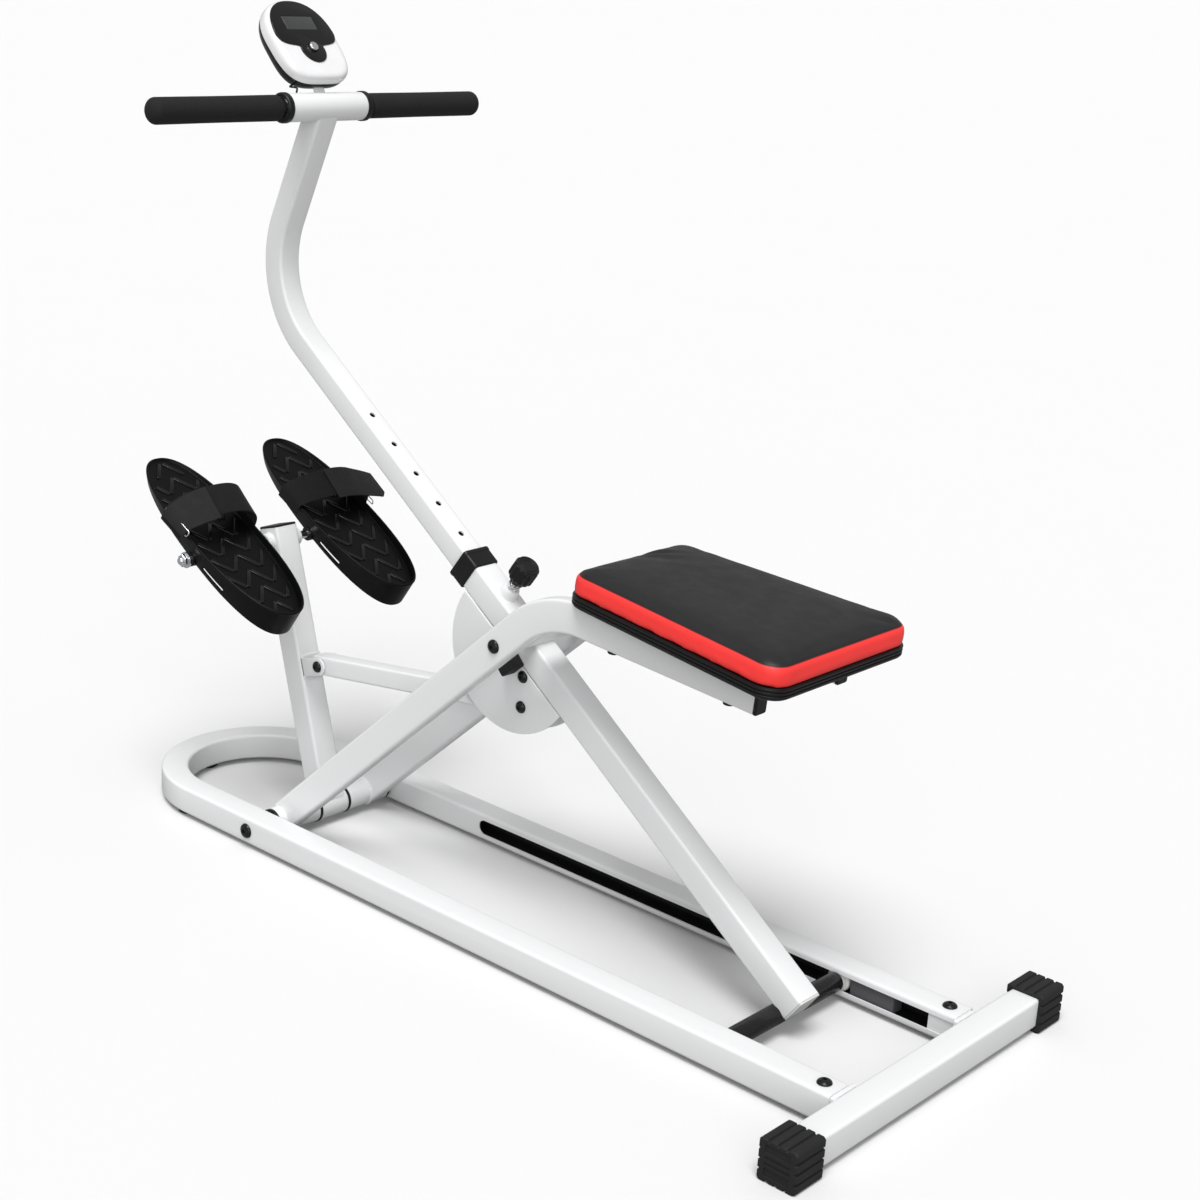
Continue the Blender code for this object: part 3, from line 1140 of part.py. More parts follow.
def make_console_lead(matrix):
    """The short sensor lead from the console's underside into the handlebar sleeve."""
    radius = 0.0013
    bar = point(BAR[0], 0, BAR[1])
    entry_y = -0.046
    top = bar + Vector((-0.002, entry_y, BAR_SLEEVE_RADIUS))
    leave = console_place(-0.030, -0.052, -0.0225)
    points = [leave, leave + Vector((-0.004, -0.006, -0.004))]
    points += [top + Vector((-0.002, 0.002, 0.006)), top, bar_inside(top)]
    route = smooth_route(points, 6)
    curve = bpy.data.curves.new("console_lead", "CURVE")
    curve.dimensions = "3D"
    curve.bevel_depth = radius
    curve.bevel_resolution = 2
    curve.use_fill_caps = True
    spline = curve.splines.new("POLY")
    spline.points.add(len(route) - 1)
    for place, co in zip(spline.points, route):
        place.co = (*co, 1)
    obj = bpy.data.objects.new("console_lead", curve)
    material = bpy.data.materials.new("console_lead_black_rubber")
    material.use_nodes = True
    shader = material.node_tree.nodes["Principled BSDF"]
    colour, roughness, metallic = FINISHES["black_rubber"]
    shader.inputs["Base Color"].default_value = (*colour, 1)
    shader.inputs["Roughness"].default_value = roughness
    shader.inputs["Metallic"].default_value = metallic
    curve.materials.append(material)
    PARTS.objects.link(obj)
    empty = EMPTIES["bar_post"]
    obj.parent = empty
    obj.matrix_local = Matrix.Translation(-empty.location)
    hole = rod_mesh("lead_hole", radius + 0.0009, 0.012, 16)
    boolean(bpy.data.objects["bar_post"], cutter("lead_hole", hole, Matrix.Translation(top)))
    pocket = rod_mesh("lead_pocket", radius + 0.0009, 0.016, 16)
    turn = (points[1] - points[0]).to_track_quat("Z", "Y").to_matrix().to_4x4()
    back = bpy.data.objects["console_back"]
    boolean(back, cutter("lead_pocket", pocket, Matrix.Translation(leave) @ turn))


def bar_inside(top):
    """Where the lead ends inside the sleeve, clear of the bar."""
    return top + Vector((0, 0, -0.0030))


make_empties()
make_base_frame()
make_rear_stabiliser()
make_base_hardware()
make_front_axle()
make_seat_arms()
make_seat_frame_fittings()
make_seat()
make_mast()
make_rear_axle()
make_pin()
make_bar_post()
make_handlebar()
make_pedal_post()
make_link()
make_pedals()
make_console()
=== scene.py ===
"""Looks of a horse riding exercise machine: fine surfaces and finishes dressed over its packed CAD frame.

The seat frame turns on the front axle and the mast hangs on the seat frame, so most pieces are laid
out from the front axle's middle, X to the rear, Z up, in metres.
"""

import math

import bmesh
import bpy
import numpy as np
from bpy.props import FloatProperty, FloatVectorProperty, IntProperty, PointerProperty
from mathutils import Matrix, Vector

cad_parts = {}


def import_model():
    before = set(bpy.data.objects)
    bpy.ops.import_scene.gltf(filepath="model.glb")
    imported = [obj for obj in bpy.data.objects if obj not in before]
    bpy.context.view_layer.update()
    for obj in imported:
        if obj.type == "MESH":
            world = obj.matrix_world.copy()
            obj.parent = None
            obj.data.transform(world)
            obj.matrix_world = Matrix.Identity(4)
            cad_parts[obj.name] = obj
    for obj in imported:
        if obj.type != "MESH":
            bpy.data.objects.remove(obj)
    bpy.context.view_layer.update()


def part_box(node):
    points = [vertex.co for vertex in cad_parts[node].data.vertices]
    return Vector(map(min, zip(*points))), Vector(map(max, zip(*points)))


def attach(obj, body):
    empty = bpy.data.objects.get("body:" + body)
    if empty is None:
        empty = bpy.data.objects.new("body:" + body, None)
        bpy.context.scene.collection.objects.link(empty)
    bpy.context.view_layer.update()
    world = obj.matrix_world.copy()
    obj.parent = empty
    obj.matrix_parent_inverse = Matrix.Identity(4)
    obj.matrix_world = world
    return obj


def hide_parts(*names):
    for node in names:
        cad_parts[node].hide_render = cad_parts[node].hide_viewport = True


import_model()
AXLE = (np.array(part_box("front_axle")[0]) + np.array(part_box("front_axle")[1])) / 2

bl_info = {
    "name": "Horse riding exercise machine",
    "version": (1, 0, 0),
    "blender": (4, 5, 0),
    "location": "3D View > Sidebar > Riding machine",
    "description": "Builds the visible pieces and finishes of a horse riding exercise machine",
    "category": "Add Mesh",
}

# Clearance between neighbouring pieces.
GAP = 0.0003

# Stations and angles that the frame fixes: x and z are measured from the front axle, t and n along the mast and
# above its middle line, Y across the machine.
HALF_TUBE = 0.02
RAIL_Y = 0.133
RAIL_SCREW = (0.997, 0.02)
CROSS_TUBE_X = 1.0446
ARM_Y = 0.08175
ARM_ANGLE = math.radians(42.56)
ARM_CORNER = (0.4905, 0.4520)
ARM_BEND = 0.140
ARM_DEPTH = 0.044
ARM_END_X = 0.822
SEAT_SLOPE = math.radians(4.2)
SEAT_MIDDLE_X = 0.707
SEAT_SCREWS_X = (0.600, 0.780)
SEAT_PIVOT = (0.4085, 0.3773)
SLEEVE_RADII = (0.0104, 0.020)
SLEEVE_BORE = 0.0195
PIVOT_BORE = 0.0064
BOLT_BORE = 0.0054
MAST_ANGLE = math.radians(35.37)
MAST_DROP = 0.0284
MAST_ENDS = (-0.150, 0.583)
ROLLER_T = 0.5712
ROLLER_BORE = 0.0133
PIN_T = -0.0742
PIN_PITCH = 0.055
PIN_BORE = 0.0044
HOUSING_BORE = 0.0064
GUSSET_Y = 0.0184
POST_LEAN = math.radians(16.9)
PEDAL_AXLE_UP = 0.3966
PEDAL_TILT = math.radians(27.2)
PEDAL_PLACE = (-0.110, 0.408)
PEDAL_Y = 0.108
PEDAL_BORE = 0.0064
PEDAL_POWER = 2.3
STRAP_SKEW = 0.1
LINK_PIVOT = (-0.008, 0.216)
LINK_BOLT = (0.0493, -0.064)
UPPER_BOLT = (0.0251, -0.029)
BAR = (-0.0425, 1.005)
CONSOLE_TILT = math.radians(43.0)
CONSOLE_PLACE = (-0.0845, 1.087)
TAB_LEVEL = -0.0165

# The sensor lead: where it leaves the console, on the console's axes, its first step, and its hole in the
# handlebar sleeve, from the handlebar's middle.
LEAD_EXIT = (-0.030, -0.052, -0.0225)
LEAD_START = (-0.004, -0.006, -0.004)
LEAD_HOLE = (-0.002, -0.046, 0.019)
LEAD_BORE = 0.0022
LEAD_RADIUS = 0.0013

# The two sides of the machine, with the sign of Y.
SIDES = (("left", -1), ("right", 1))

# Unit steps along the lower part of a seat arm and square to it, in x and z.
ARM_WAY = np.array([math.cos(ARM_ANGLE), math.sin(ARM_ANGLE)])
ARM_UP = np.array([-math.sin(ARM_ANGLE), math.cos(ARM_ANGLE)])

# Finishes, and the slot of the frame that each of them stands for.
PAINT = "powder coated steel"
BLACK_STEEL = "black oxide steel"
PLATED = "bright plated steel"
PLASTIC = "moulded black plastic"
RUBBER = "black rubber"
SLOTS = {
    PAINT: "white_paint",
    BLACK_STEEL: "black_steel",
    PLATED: "chrome",
    PLASTIC: "black_plastic",
    RUBBER: "black_rubber",
    "grey rubber": "grey_rubber",
    "white nylon": "nylon",
    "foam grip": "foam",
    "pedal plastic": "black_plastic",
    "pedal tread plastic": "black_plastic",
    "strap webbing": "webbing",
    "strap hook patch": "webbing",
    "white console shell": "gloss_white",
    "black console gloss": "gloss_black",
    "console display": "screen",
}


def length(name, description, default):
    """A length that a user may change, in metres."""
    return FloatProperty(name=name, description=description, default=default, min=0.0, unit="LENGTH", precision=4)


def colour(name, description, default):
    """A surface colour that a user may change."""
    return FloatVectorProperty(
        name=name, description=description, default=default, min=0.0, max=1.0, size=3, subtype="COLOR"
    )


class FrameSizes(bpy.types.PropertyGroup):
    """Sizes of the steel frame."""

    tube: length("Square tube", "Side of the square tube of base, mast and pedal post", 0.040)
    wall: length("Wall", "Wall thickness of the steel tubes", 0.002)
    fillet: length("Corner", "Outer corner radius of the square tube", 0.0045)
    post: length("Handlebar post", "Side of the sliding handlebar post", 0.035)
    arm_width: length("Arm width", "Width of the flat tube under the seat", 0.0213)
    grip: length("Grip radius", "Outer radius of the foam grips", 0.01715)
    roundness: IntProperty(name="Roundness", description="Segments round a turned piece", default=56, min=12)


class SeatSizes(bpy.types.PropertyGroup):
    """Sizes of the seat."""

    long: length("Length", "Seat length, front to rear", 0.348)
    front: length("Front half width", "Half of the seat's width at the front", 0.112)
    rear: length("Rear half width", "Half of the seat's width at the rear", 0.139)
    corner: length("Corner radius", "Radius of the seat's corners from above", 0.030)
    base: length("Base height", "Height of the ribbed seat base", 0.016)
    band: length("Band height", "Height of the coloured side band", 0.0245)
    voxel: length("Foam grid", "Grid of the cushion's cloth before it is blown up", 0.0034)


class PedalSizes(bpy.types.PropertyGroup):
    """Sizes of the pedals and their straps."""

    half_length: length("Half length", "Half of a pedal's length", 0.173)
    half_width: length("Half width", "Half of a pedal's width", 0.060)
    strap_width: length("Strap width", "Width of the webbing strap", 0.046)
    strap_rise: length("Strap rise", "Height of the strap over the rim", 0.046)


class Colours(bpy.types.PropertyGroup):
    """Colours of the finishes."""

    paint: colour("Powder coat", "White powder coat on the steel frame", (0.84, 0.845, 0.85))
    band: colour("Seat band", "Vinyl band round the cushion's side", (0.97, 0.046, 0.042))
    vinyl: colour("Seat vinyl", "Vinyl on top of the cushion", (0.0195, 0.0195, 0.0200))
    plastic: colour("Moulded plastic", "Pedals, knob and seat base", (0.0065, 0.0065, 0.0070))
    rubber: colour("Rubber", "Feet, pads and blocks", (0.0170, 0.0170, 0.0175))
    webbing: colour("Webbing", "Straps over the pedals", (0.0095, 0.0095, 0.0100))
    console: colour("Console shell", "White front shell of the console", (0.86, 0.86, 0.87))
    floor: colour("Studio floor", "Pale floor under the machine", (0.82, 0.82, 0.82))


class StageSettings(bpy.types.PropertyGroup):
    """Light on the stage."""

    key: FloatProperty(name="Key light", description="Strength of the key lamp", default=2.25, min=0.0)
    fill: FloatProperty(name="Fill light", description="Strength of the fill lamp", default=1.3, min=0.0)
    sky: FloatProperty(name="Room light", description="Strength of the light from all round", default=0.42, min=0.0)


# Shapes: points and faces worked out as whole arrays.


def place_at(origin, angle=0.0):
    """An origin and three axes, X turned towards Z by the angle: along (cos, 0, sin), up (-sin, 0, cos)."""
    c, s = math.cos(angle), math.sin(angle)
    return np.array(origin, float), np.array([[c, 0, s], [0, 1, 0], [-s, 0, c]])


def about_y(origin):
    """A place whose Z axis lies across the machine, for pieces turned about Y."""
    return np.array(origin, float), np.array([[1.0, 0, 0], [0, 0, -1], [0, 1, 0]])


def world(place, points):
    """Points of a place in the machine's frame: the origin plus each coordinate times its axis."""
    origin, axes = place
    return np.asarray(points, float) @ axes + origin


def raised(place, height):
    """The same axes, moved along their own Z."""
    return place[0] + place[1][2] * height, place[1]


def from_axle(x, z, y=0.0):
    """A point measured from the front axle's middle."""
    return AXLE + np.array([x, y, z])


def spot(x, z, y=0.0, angle=0.0):
    """A place measured from the front axle's middle."""
    return place_at(from_axle(x, z, y), angle)


def on_mast(t, n=0.0, y=0.0):
    """A point t down the mast tube from the seat pivot and n above its middle line."""
    return world(MAST, (t, y, n))


def on_arm(x, y, up=0.0):
    """A point on the upper part of the seat arms, x behind the front axle and up from their middle line."""
    return world(SEAT_TOP, ((x - ARM_CORNER[0]) / math.cos(SEAT_SLOPE), y, up))


def on_pedal(sign):
    """The place of one pedal: X along it to the heel, Z up from its rim."""
    return spot(*PEDAL_PLACE, sign * PEDAL_Y, -PEDAL_TILT)


def on_console(x, y, z):
    """A place on the console: x across it, y up its face and z out of the face."""
    return world(CONSOLE, (x, y, z)), CONSOLE[1]


MAST = raised(spot(*SEAT_PIVOT, angle=-MAST_ANGLE), -MAST_DROP)
PIVOT = from_axle(*SEAT_PIVOT)
ROLLER_AXLE = on_mast(ROLLER_T, -MAST_DROP)
POST = place_at(AXLE, POST_LEAN)
SEAT_TOP = spot(*ARM_CORNER, angle=-SEAT_SLOPE)
SEAT = place_at(on_arm(SEAT_MIDDLE_X, 0, ARM_DEPTH / 2 + GAP), -SEAT_SLOPE)
PEDAL_AXLE = world(POST, (0, 0, PEDAL_AXLE_UP))
HANDLEBAR = from_axle(*BAR)
ACROSS, UP_FACE, OUT_OF_FACE = (
    (0, 1, 0),
    (-math.sin(CONSOLE_TILT), 0, math.cos(CONSOLE_TILT)),
    (math.cos(CONSOLE_TILT), 0, math.sin(CONSOLE_TILT)),
)
CONSOLE = (from_axle(*CONSOLE_PLACE), np.array([ACROSS, UP_FACE, OUT_OF_FACE]))


def skin(rings, joined=False, capped=False):
    """Quads between neighbouring rings of a (rings, points, 3) grid; point j of ring i meets j + 1 and ring i + 1."""
    rings = np.asarray(rings, float)
    count, around = rings.shape[:2]
    i = np.arange(count if joined else count - 1)[:, None]
    j = np.arange(around)[None, :]
    low, high = i * around, (i + 1) % count * around
    after = (j + 1) % around
    faces = np.stack([low + j, low + after, high + after, high + j], -1).reshape(-1, 4).tolist()
    if capped:
        faces += [list(range(around))[::-1], list(range((count - 1) * around, count * around))]
    return rings.reshape(-1, 3), faces


def join(*shapes):
    """Several shapes as one: points one after the other, faces counted on."""
    starts = np.cumsum([0] + [len(points) for points, _ in shapes])
    faces = [[v + start for v in face] for start, (_, faces) in zip(starts.tolist(), shapes) for face in faces]
    return np.concatenate([points for points, _ in shapes]), faces


def soften(points, radius, steps=3, closed=False):
    """Rounds the corners of a line of points, or of many side by side: at each corner a parabola
    (1-t)^2 A + 2t(1-t) B + t^2 C from a point before it to one after it, the radius away."""
    points = np.asarray(points, float)
    if closed:
        points = np.concatenate([points[-1:], points, points[:1]])
    before, corner, after = points[:-2], points[1:-1], points[2:]

    def towards(other):
        step = other - corner
        size = np.maximum(np.linalg.norm(step, axis=-1, keepdims=True), 1e-9)
        return corner + step / size * np.minimum(radius, 0.45 * size)

    t = np.linspace(0, 1, steps + 1).reshape((1, -1) + (1,) * (points.ndim - 1))
    a, b, c = (value[:, None] for value in (towards(before), corner, towards(after)))
    curve = (1 - t) ** 2 * a + 2 * t * (1 - t) * b + t**2 * c
    curve = curve.reshape((-1,) + points.shape[1:])
    return curve if closed else np.concatenate([points[:1], curve, points[-1:]])


def circle(count):
    """Angles all the way round, from 0 in equal steps."""
    return np.arange(count) * 2 * math.pi / count


def quarter_rings(x, width, height, fillet, steps=5):
    """Rings across X, each a rectangle with quarter-circle corners: corner centre plus fillet times
    cosine and sine. Any of the four may be a list with one value for each ring."""
    x, width, height, fillet = (np.ravel(v)[:, None] for v in np.broadcast_arrays(x, width, height, fillet))
    quarter = np.repeat(np.arange(4), steps + 1)
    angle = np.radians(quarter * 90 + np.tile(np.linspace(0, 90, steps + 1), 4))
    side_y, side_z = np.array([1, -1, -1, 1])[quarter], np.array([1, 1, -1, -1])[quarter]
    y = side_y * (width / 2 - fillet) + fillet * np.cos(angle)
    z = side_z * (height / 2 - fillet) + fillet * np.sin(angle)
    return np.stack([x + 0 * y, y, z], -1)


def section(width, height, fillet, steps=5):
    """One rounded rectangle's outline, across and up."""
    return quarter_rings(0, width, height, fillet, steps)[0][:, 1:]


def block(place, profile, width, height, fillet, soft=0.0):
    """A bar along X whose rounded section shrinks by an inset: rings at each (x, inset) of the profile."""
    if soft:
        profile = soften(profile, soft)
    x, inset = np.asarray(profile, float).T
    corner = np.maximum(fillet - inset, 0.0003)
    return skin(world(place, quarter_rings(x, width - 2 * inset, height - 2 * inset, corner)), capped=True)


def brick(place, size, fillet):
    """A block with every edge rounded by the fillet, its size along each axis, about its middle."""
    half = size[0] / 2
    angle = np.linspace(0, math.pi / 2, 5)
    near = np.stack([-half + fillet * (1 - np.sin(angle)), fillet * (1 - np.cos(angle))], -1)[::-1]
    profile = np.concatenate([near, near[::-1] * (-1, 1)])
    return block(place, profile, size[1], size[2], fillet * 1.2)


def walk(start, heading, legs, turn=3.0):
    """Points and headings along legs in a plane: a straight leg (length,) keeps the heading, a curved leg
    (radius, angle) turns it about a centre one radius to its side, in steps of about turn degrees."""
    places, headings = [np.array([start], float)], [np.array([heading])]
    for leg in legs:
        last, h = places[-1][-1], headings[-1][-1]
        if len(leg) == 1:
            places.append((last + leg[0] * np.array([math.cos(h), math.sin(h)]))[None])
            headings.append(np.array([h]))
            continue
        radius, angle = leg
        side = math.copysign(radius, angle)
        steps = max(4, round(abs(math.degrees(angle)) / turn))
        turned_to = h + np.linspace(0, angle, steps + 1)[1:]
        centre = last + side * np.array([-math.sin(h), math.cos(h)])
        places.append(centre - side * np.stack([-np.sin(turned_to), np.cos(turned_to)], -1))
        headings.append(turned_to)
    return np.concatenate(places), np.concatenate(headings)


def sweep(outline, places, headings):
    """Rings of an outline (y across, n to the left of the heading) carried along a path in the XZ plane."""
    y, n = np.asarray(outline, float).T
    x = places[:, :1] - np.sin(headings)[:, None] * n
    z = places[:, 1:] + np.cos(headings)[:, None] * n
    return np.stack([x, y + 0 * x, z], -1)


def tube(place, width, height, fillet, wall, path):
    """A hollow tube: the outer rings to the far end, then the inner rings back, joined into one skin."""
    outer = section(width, height, fillet)
    inner = section(width - 2 * wall, height - 2 * wall, max(fillet - wall, 0.001))
    return skin(world(place, np.concatenate([sweep(outer, *path), sweep(inner, *path)[::-1]])), joined=True)


def straight_tube(place, start, end, width, height, fillet, wall):
    """A hollow tube along X from start to end."""
    return tube(place, width, height, fillet, wall, walk((start, 0), 0, [(end - start,)]))


def square_tube(place, start, end):
    """A hollow tube of the frame's own square section along X."""
    size = bpy.context.scene.riding_frame
    return straight_tube(place, start, end, size.tube, size.tube, size.fillet, size.wall)


def turned(place, profile, soft=0.0004, closed=False, segments=None, wave=None):
    """A piece turned about Z: each (radius, height) of the profile goes round as radius times cosine and
    sine. A wave scales the radius round the turn."""
    segments = segments or bpy.context.scene.riding_frame.roundness
    profile = soften(profile, soft, closed=closed) if soft else np.asarray(profile, float)
    angle = circle(segments)
    radius = profile[:, :1] * (np.ones_like(angle) if wave is None else wave(angle))
    rings = np.stack([radius * np.cos(angle), radius * np.sin(angle), profile[:, 1:] + 0 * radius], -1)
    return skin(world(place, rings), joined=closed)


def pipe(place, inner, outer, low, high, soft, **more):
    """A straight pipe turned about Z, from one height to another."""
    return turned(place, [(inner, low), (outer, low), (outer, high), (inner, high)], soft, closed=True, **more)


def cross_bar(middle, half, soft, **more):
    """A bar turned about Y: the profile from its end to its middle, then the mirror of that."""
    half = np.asarray(half, float)
    return turned(about_y(middle), np.concatenate([half, half[::-1] * (1, -1)]), soft, **more)


def side_piece(middle, sign, profile, soft, **more):
    """A piece turned about Y on one side of a middle, its heights counted outwards."""
    return turned(about_y(middle), np.array(profile) * (1, sign), soft, **more)


def prism(place, radius, low, high, corners=6):
    """A bar of regular section along Z, as for a hexagon socket."""
    angle = circle(corners)
    rings = [[(radius * math.cos(a), radius * math.sin(a), z) for a in angle] for z in (low, high)]
    return skin(world(place, rings), capped=True)


def rod(place, radius, low, high, segments=32):
    """A plain round cutter along Z."""
    return prism(place, radius, low, high, segments)


def bore(middle, radius, reach=0.03, segments=32):
    """A round cutter across the machine, with its reach to each side of a middle."""
    return rod(about_y(middle), radius, -reach, reach, segments)


def normals(outline):
    """Unit normals of a closed outline, each square to the line between the point's neighbours."""
    step = np.roll(outline, -1, 0) - np.roll(outline, 1, 0)
    return np.stack([step[:, 1], -step[:, 0]], -1) / np.linalg.norm(step, axis=1)[:, None]


def plate(place, outline, thickness, edge=0.0006):
    """A flat plate in XZ with rounded edges: rings of the outline, drawn in towards its middle near each face."""
    outline = np.asarray(outline, float)
    after = np.roll(outline, -1, 0)
    area = (outline[:, 0] * after[:, 1] - after[:, 0] * outline[:, 1]).sum()
    angle = np.linspace(0, math.pi / 2, 4)
    inset, level = edge * (1 - np.sin(angle)), thickness / 2 - edge * (1 - np.cos(angle))
    inset, level = np.concatenate([inset, inset[::-1]]), np.concatenate([level, -level[::-1]])
    flat = outline[None] - normals(outline) * math.copysign(1, area) * inset[:, None, None]
    rings = np.stack([flat[..., 0], np.broadcast_to(level[:, None], flat.shape[:2]), flat[..., 1]], -1)
    return skin(world(place, rings), capped=True)


def arc(cx, cy, radius, start, end, steps):
    """Points on an arc, angles in degrees: centre plus radius times cosine and sine."""
    a = np.radians(np.linspace(start, end, steps + 1))
    return np.stack([cx + radius * np.cos(a), cy + radius * np.sin(a)], -1)


def oval(half_x, half_y, power, count=112):
    """A superellipse: each half size times cosine or sine raised to 2 / power, with its sign."""
    c, s = np.cos(circle(count)), np.sin(circle(count))
    power = np.where(s >= 0, power[0], power[1])
    x = half_x * np.sign(c) * np.abs(c) ** (2 / power)
    y = half_y * np.sign(s) * np.abs(s) ** (2 / power)
    return np.stack([x, y], -1)


# Objects.


def blank(name, shape):
    """An object that holds a shape, with doubles merged and faces turned outwards."""
    points, faces = shape
    mesh = bpy.data.meshes.new(name)
    mesh.from_pydata(points.tolist(), [], faces)
    bm = bmesh.new()
    bm.from_mesh(mesh)
    bmesh.ops.remove_doubles(bm, verts=bm.verts[:], dist=1e-6)
    bmesh.ops.recalc_face_normals(bm, faces=bm.faces[:])
    bm.to_mesh(mesh)
    bm.free()
    obj = bpy.data.objects.new(name, mesh)
    bpy.context.scene.collection.objects.link(obj)
    return obj


def read_points(obj):
    """An object's points as an array."""
    flat = np.empty(len(obj.data.vertices) * 3)
    obj.data.vertices.foreach_get("co", flat)
    return flat.reshape(-1, 3)


def write_points(obj, points):
    """Puts an array of points into an object's mesh."""
    obj.data.vertices.foreach_set("co", points.astype(np.float32).ravel())
    obj.data.update()


def settle(obj):
    """Replaces an object's mesh by what its modifiers make of it."""
    bpy.context.view_layer.update()
    mesh = bpy.data.meshes.new_from_object(obj.evaluated_get(bpy.context.evaluated_depsgraph_get()))
    old = obj.data
    obj.modifiers.clear()
    obj.data = mesh
    bpy.data.meshes.remove(old)


def cut(obj, shapes):
    """Takes the shapes out of an object with exact Booleans."""
    cutter = blank("cutter", join(*shapes))
    modifier = obj.modifiers.new("cut", "BOOLEAN")
    modifier.solver = "EXACT"
    modifier.object = cutter
    settle(obj)
    bpy.data.objects.remove(cutter)


def put(name, shapes, finish, body, stands_for=(), holes=(), sharp=32, hollow=False, slot=None):
    """Makes a piece: shapes joined, holes cut, shading, finish, and the body that it rides on. The inner
    rings of a hollow tube, the later half of its faces but for the near rim, are left unpainted: they take a
    near-black bare steel whose darkness is also painted shade inside the tube."""
    slot = slot or SLOTS[finish]
    obj = blank(name, join(*shapes))
    for material in [finish, "bare steel inside"] if hollow else [finish]:
        obj.data.materials.append(bpy.data.materials[material])
    if hollow:
        # The inner rings take the near-black steel, which stands for bare steel and paints in the shade inside the
        # tube.
        count, around = len(shapes[0][1]), len(section(1, 1, 0.1))
        index = np.zeros(len(obj.data.polygons), np.int32)
        index[count // 2 : count - around] = 1
        obj.data.polygons.foreach_set("material_index", index)
    if holes:
        cut(obj, holes)
    obj.data.shade_smooth()
    obj.data.set_sharp_from_angle(angle=math.radians(sharp))
    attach(obj, body)
    if stands_for:
        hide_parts(*stands_for)
    return obj


def socket(place, depth=0.0022, radius=0.0029):
    """A hexagon socket cut into a button head, at a place whose Z points out of the head."""
    return prism(place, radius, -depth, 0.01)


def sockets(middle, reach, depth, radius):
    """The hexagon sockets in both heads of a bolt across the machine."""
    right = about_y(middle + np.array([0, reach, 0]))
    left = (middle - np.array([0, reach, 0]), right[1] * np.array([[1], [-1], [-1]]))
    return [socket(place, depth, radius) for place in (left, right)]


def put_bolt(name, middle, reach, body, node_name):
    """A button-headed bolt of 10 mm across the machine, with a like cap at its other end."""
    half = [(0, reach + 0.0048), (0.0047, reach + 0.0044), (0.0077, reach + 0.0024), (0.0085, reach + 0.0004)]
    half += [(0.0085, reach), (0.005, reach)]
    bolt = cross_bar(middle, half, 0.0007, segments=44)
    put(name, [bolt], BLACK_STEEL, body, [node_name], sockets(middle, reach + 0.0048, 0.002, 0.0029))


# Finishes: node materials, each with its own grain, colour variation and wear.


def node(tree, kind, inputs=(), **settings):
    """Adds a shader node; an input is linked to a socket or set to a value."""
    made = tree.nodes.new("ShaderNode" + kind)
    for key, value in settings.items():
        setattr(made, key, value)
    for key, value in dict(inputs).items():
        if isinstance(value, bpy.types.NodeSocket):
            tree.links.new(value, made.inputs[key])
        else:
            made.inputs[key].default_value = value
    return made


def new_finish(name, **sockets):
    """A material with its tree, shader and object coordinates."""
    material = bpy.data.materials.new(name)
    material.use_nodes = True
    tree = material.node_tree
    shader = tree.nodes["Principled BSDF"]
    for key, value in sockets.items():
        shader.inputs[key.replace("_", " ")].default_value = value
    return tree, shader, node(tree, "TexCoord").outputs["Object"]


def noise(tree, where, scale, detail=3.0, rough=0.55):
    """Fractal noise, 0 to 1."""
    inputs = {"Vector": where, "Scale": scale, "Detail": detail, "Roughness": rough}
    return node(tree, "TexNoise", inputs).outputs["Fac"]


def cells(tree, where, scale, feature="F1"):
    """Distance to the nearest of scattered points, as in grain or foam."""
    return node(tree, "TexVoronoi", {"Vector": where, "Scale": scale}, feature=feature).outputs["Distance"]


def ranged(tree, value, low, high, out_low, out_high):
    """Maps a value from one range to another and clamps it."""
    inputs = {"Value": value, "From Min": low, "From Max": high, "To Min": out_low, "To Max": out_high}
    return node(tree, "MapRange", inputs).outputs["Result"]


def maths(tree, operation, a, b=0.0):
    """One arithmetic step on two values."""
    return node(tree, "Math", {0: a, 1: b}, operation=operation).outputs[0]


def mixed(tree, factor, a, b):
    """Two colours mixed by a factor."""
    a, b = ((*v, 1.0) if isinstance(v, tuple) and len(v) == 3 else v for v in (a, b))
    return node(tree, "Mix", {0: factor, 6: a, 7: b}, data_type="RGBA").outputs[2]


def relief(tree, height, strength, distance, below=None):
    """A bump from a height, on top of another bump."""
    inputs = {"Height": height, "Strength": strength, "Distance": distance}
    if below is not None:
        inputs["Normal"] = below
    return node(tree, "Bump", inputs).outputs["Normal"]


def shade(rgb, factor):
    """A colour times a factor."""
    return tuple(min(1.0, c * factor) for c in rgb)


def link(tree, shader, base=None, rough=None, normal=None):
    """Joins the patterns to the shader."""
    for key, value in (("Base Color", base), ("Roughness", rough), ("Normal", normal)):
        if value is not None:
            tree.links.new(value, shader.inputs[key])


def powder_coat(paint):
    """Satin white powder coat: orange peel, the faintest clouding, fine specks and slightly uneven gloss."""
    tree, shader, where = new_finish(PAINT, Specular_IOR_Level=0.4, Coat_Weight=0.2, Coat_Roughness=0.2)
    base = mixed(tree, ranged(tree, noise(tree, where, 4.0, 2.0), 0.3, 0.7, 0.0, 1.0), shade(paint, 0.985), paint)
    base = mixed(tree, ranged(tree, noise(tree, where, 700.0, 2.0), 0.66, 0.74, 0.0, 0.10), base, shade(paint, 0.8))
    rough = ranged(tree, noise(tree, where, 30.0, 5.0), 0.3, 0.7, 0.30, 0.36)
    peel = relief(tree, noise(tree, where, 520.0, 2.0), 0.08, 0.0004)
    link(tree, shader, base, rough, relief(tree, noise(tree, where, 2400.0, 1.0), 0.05, 0.00015, peel))


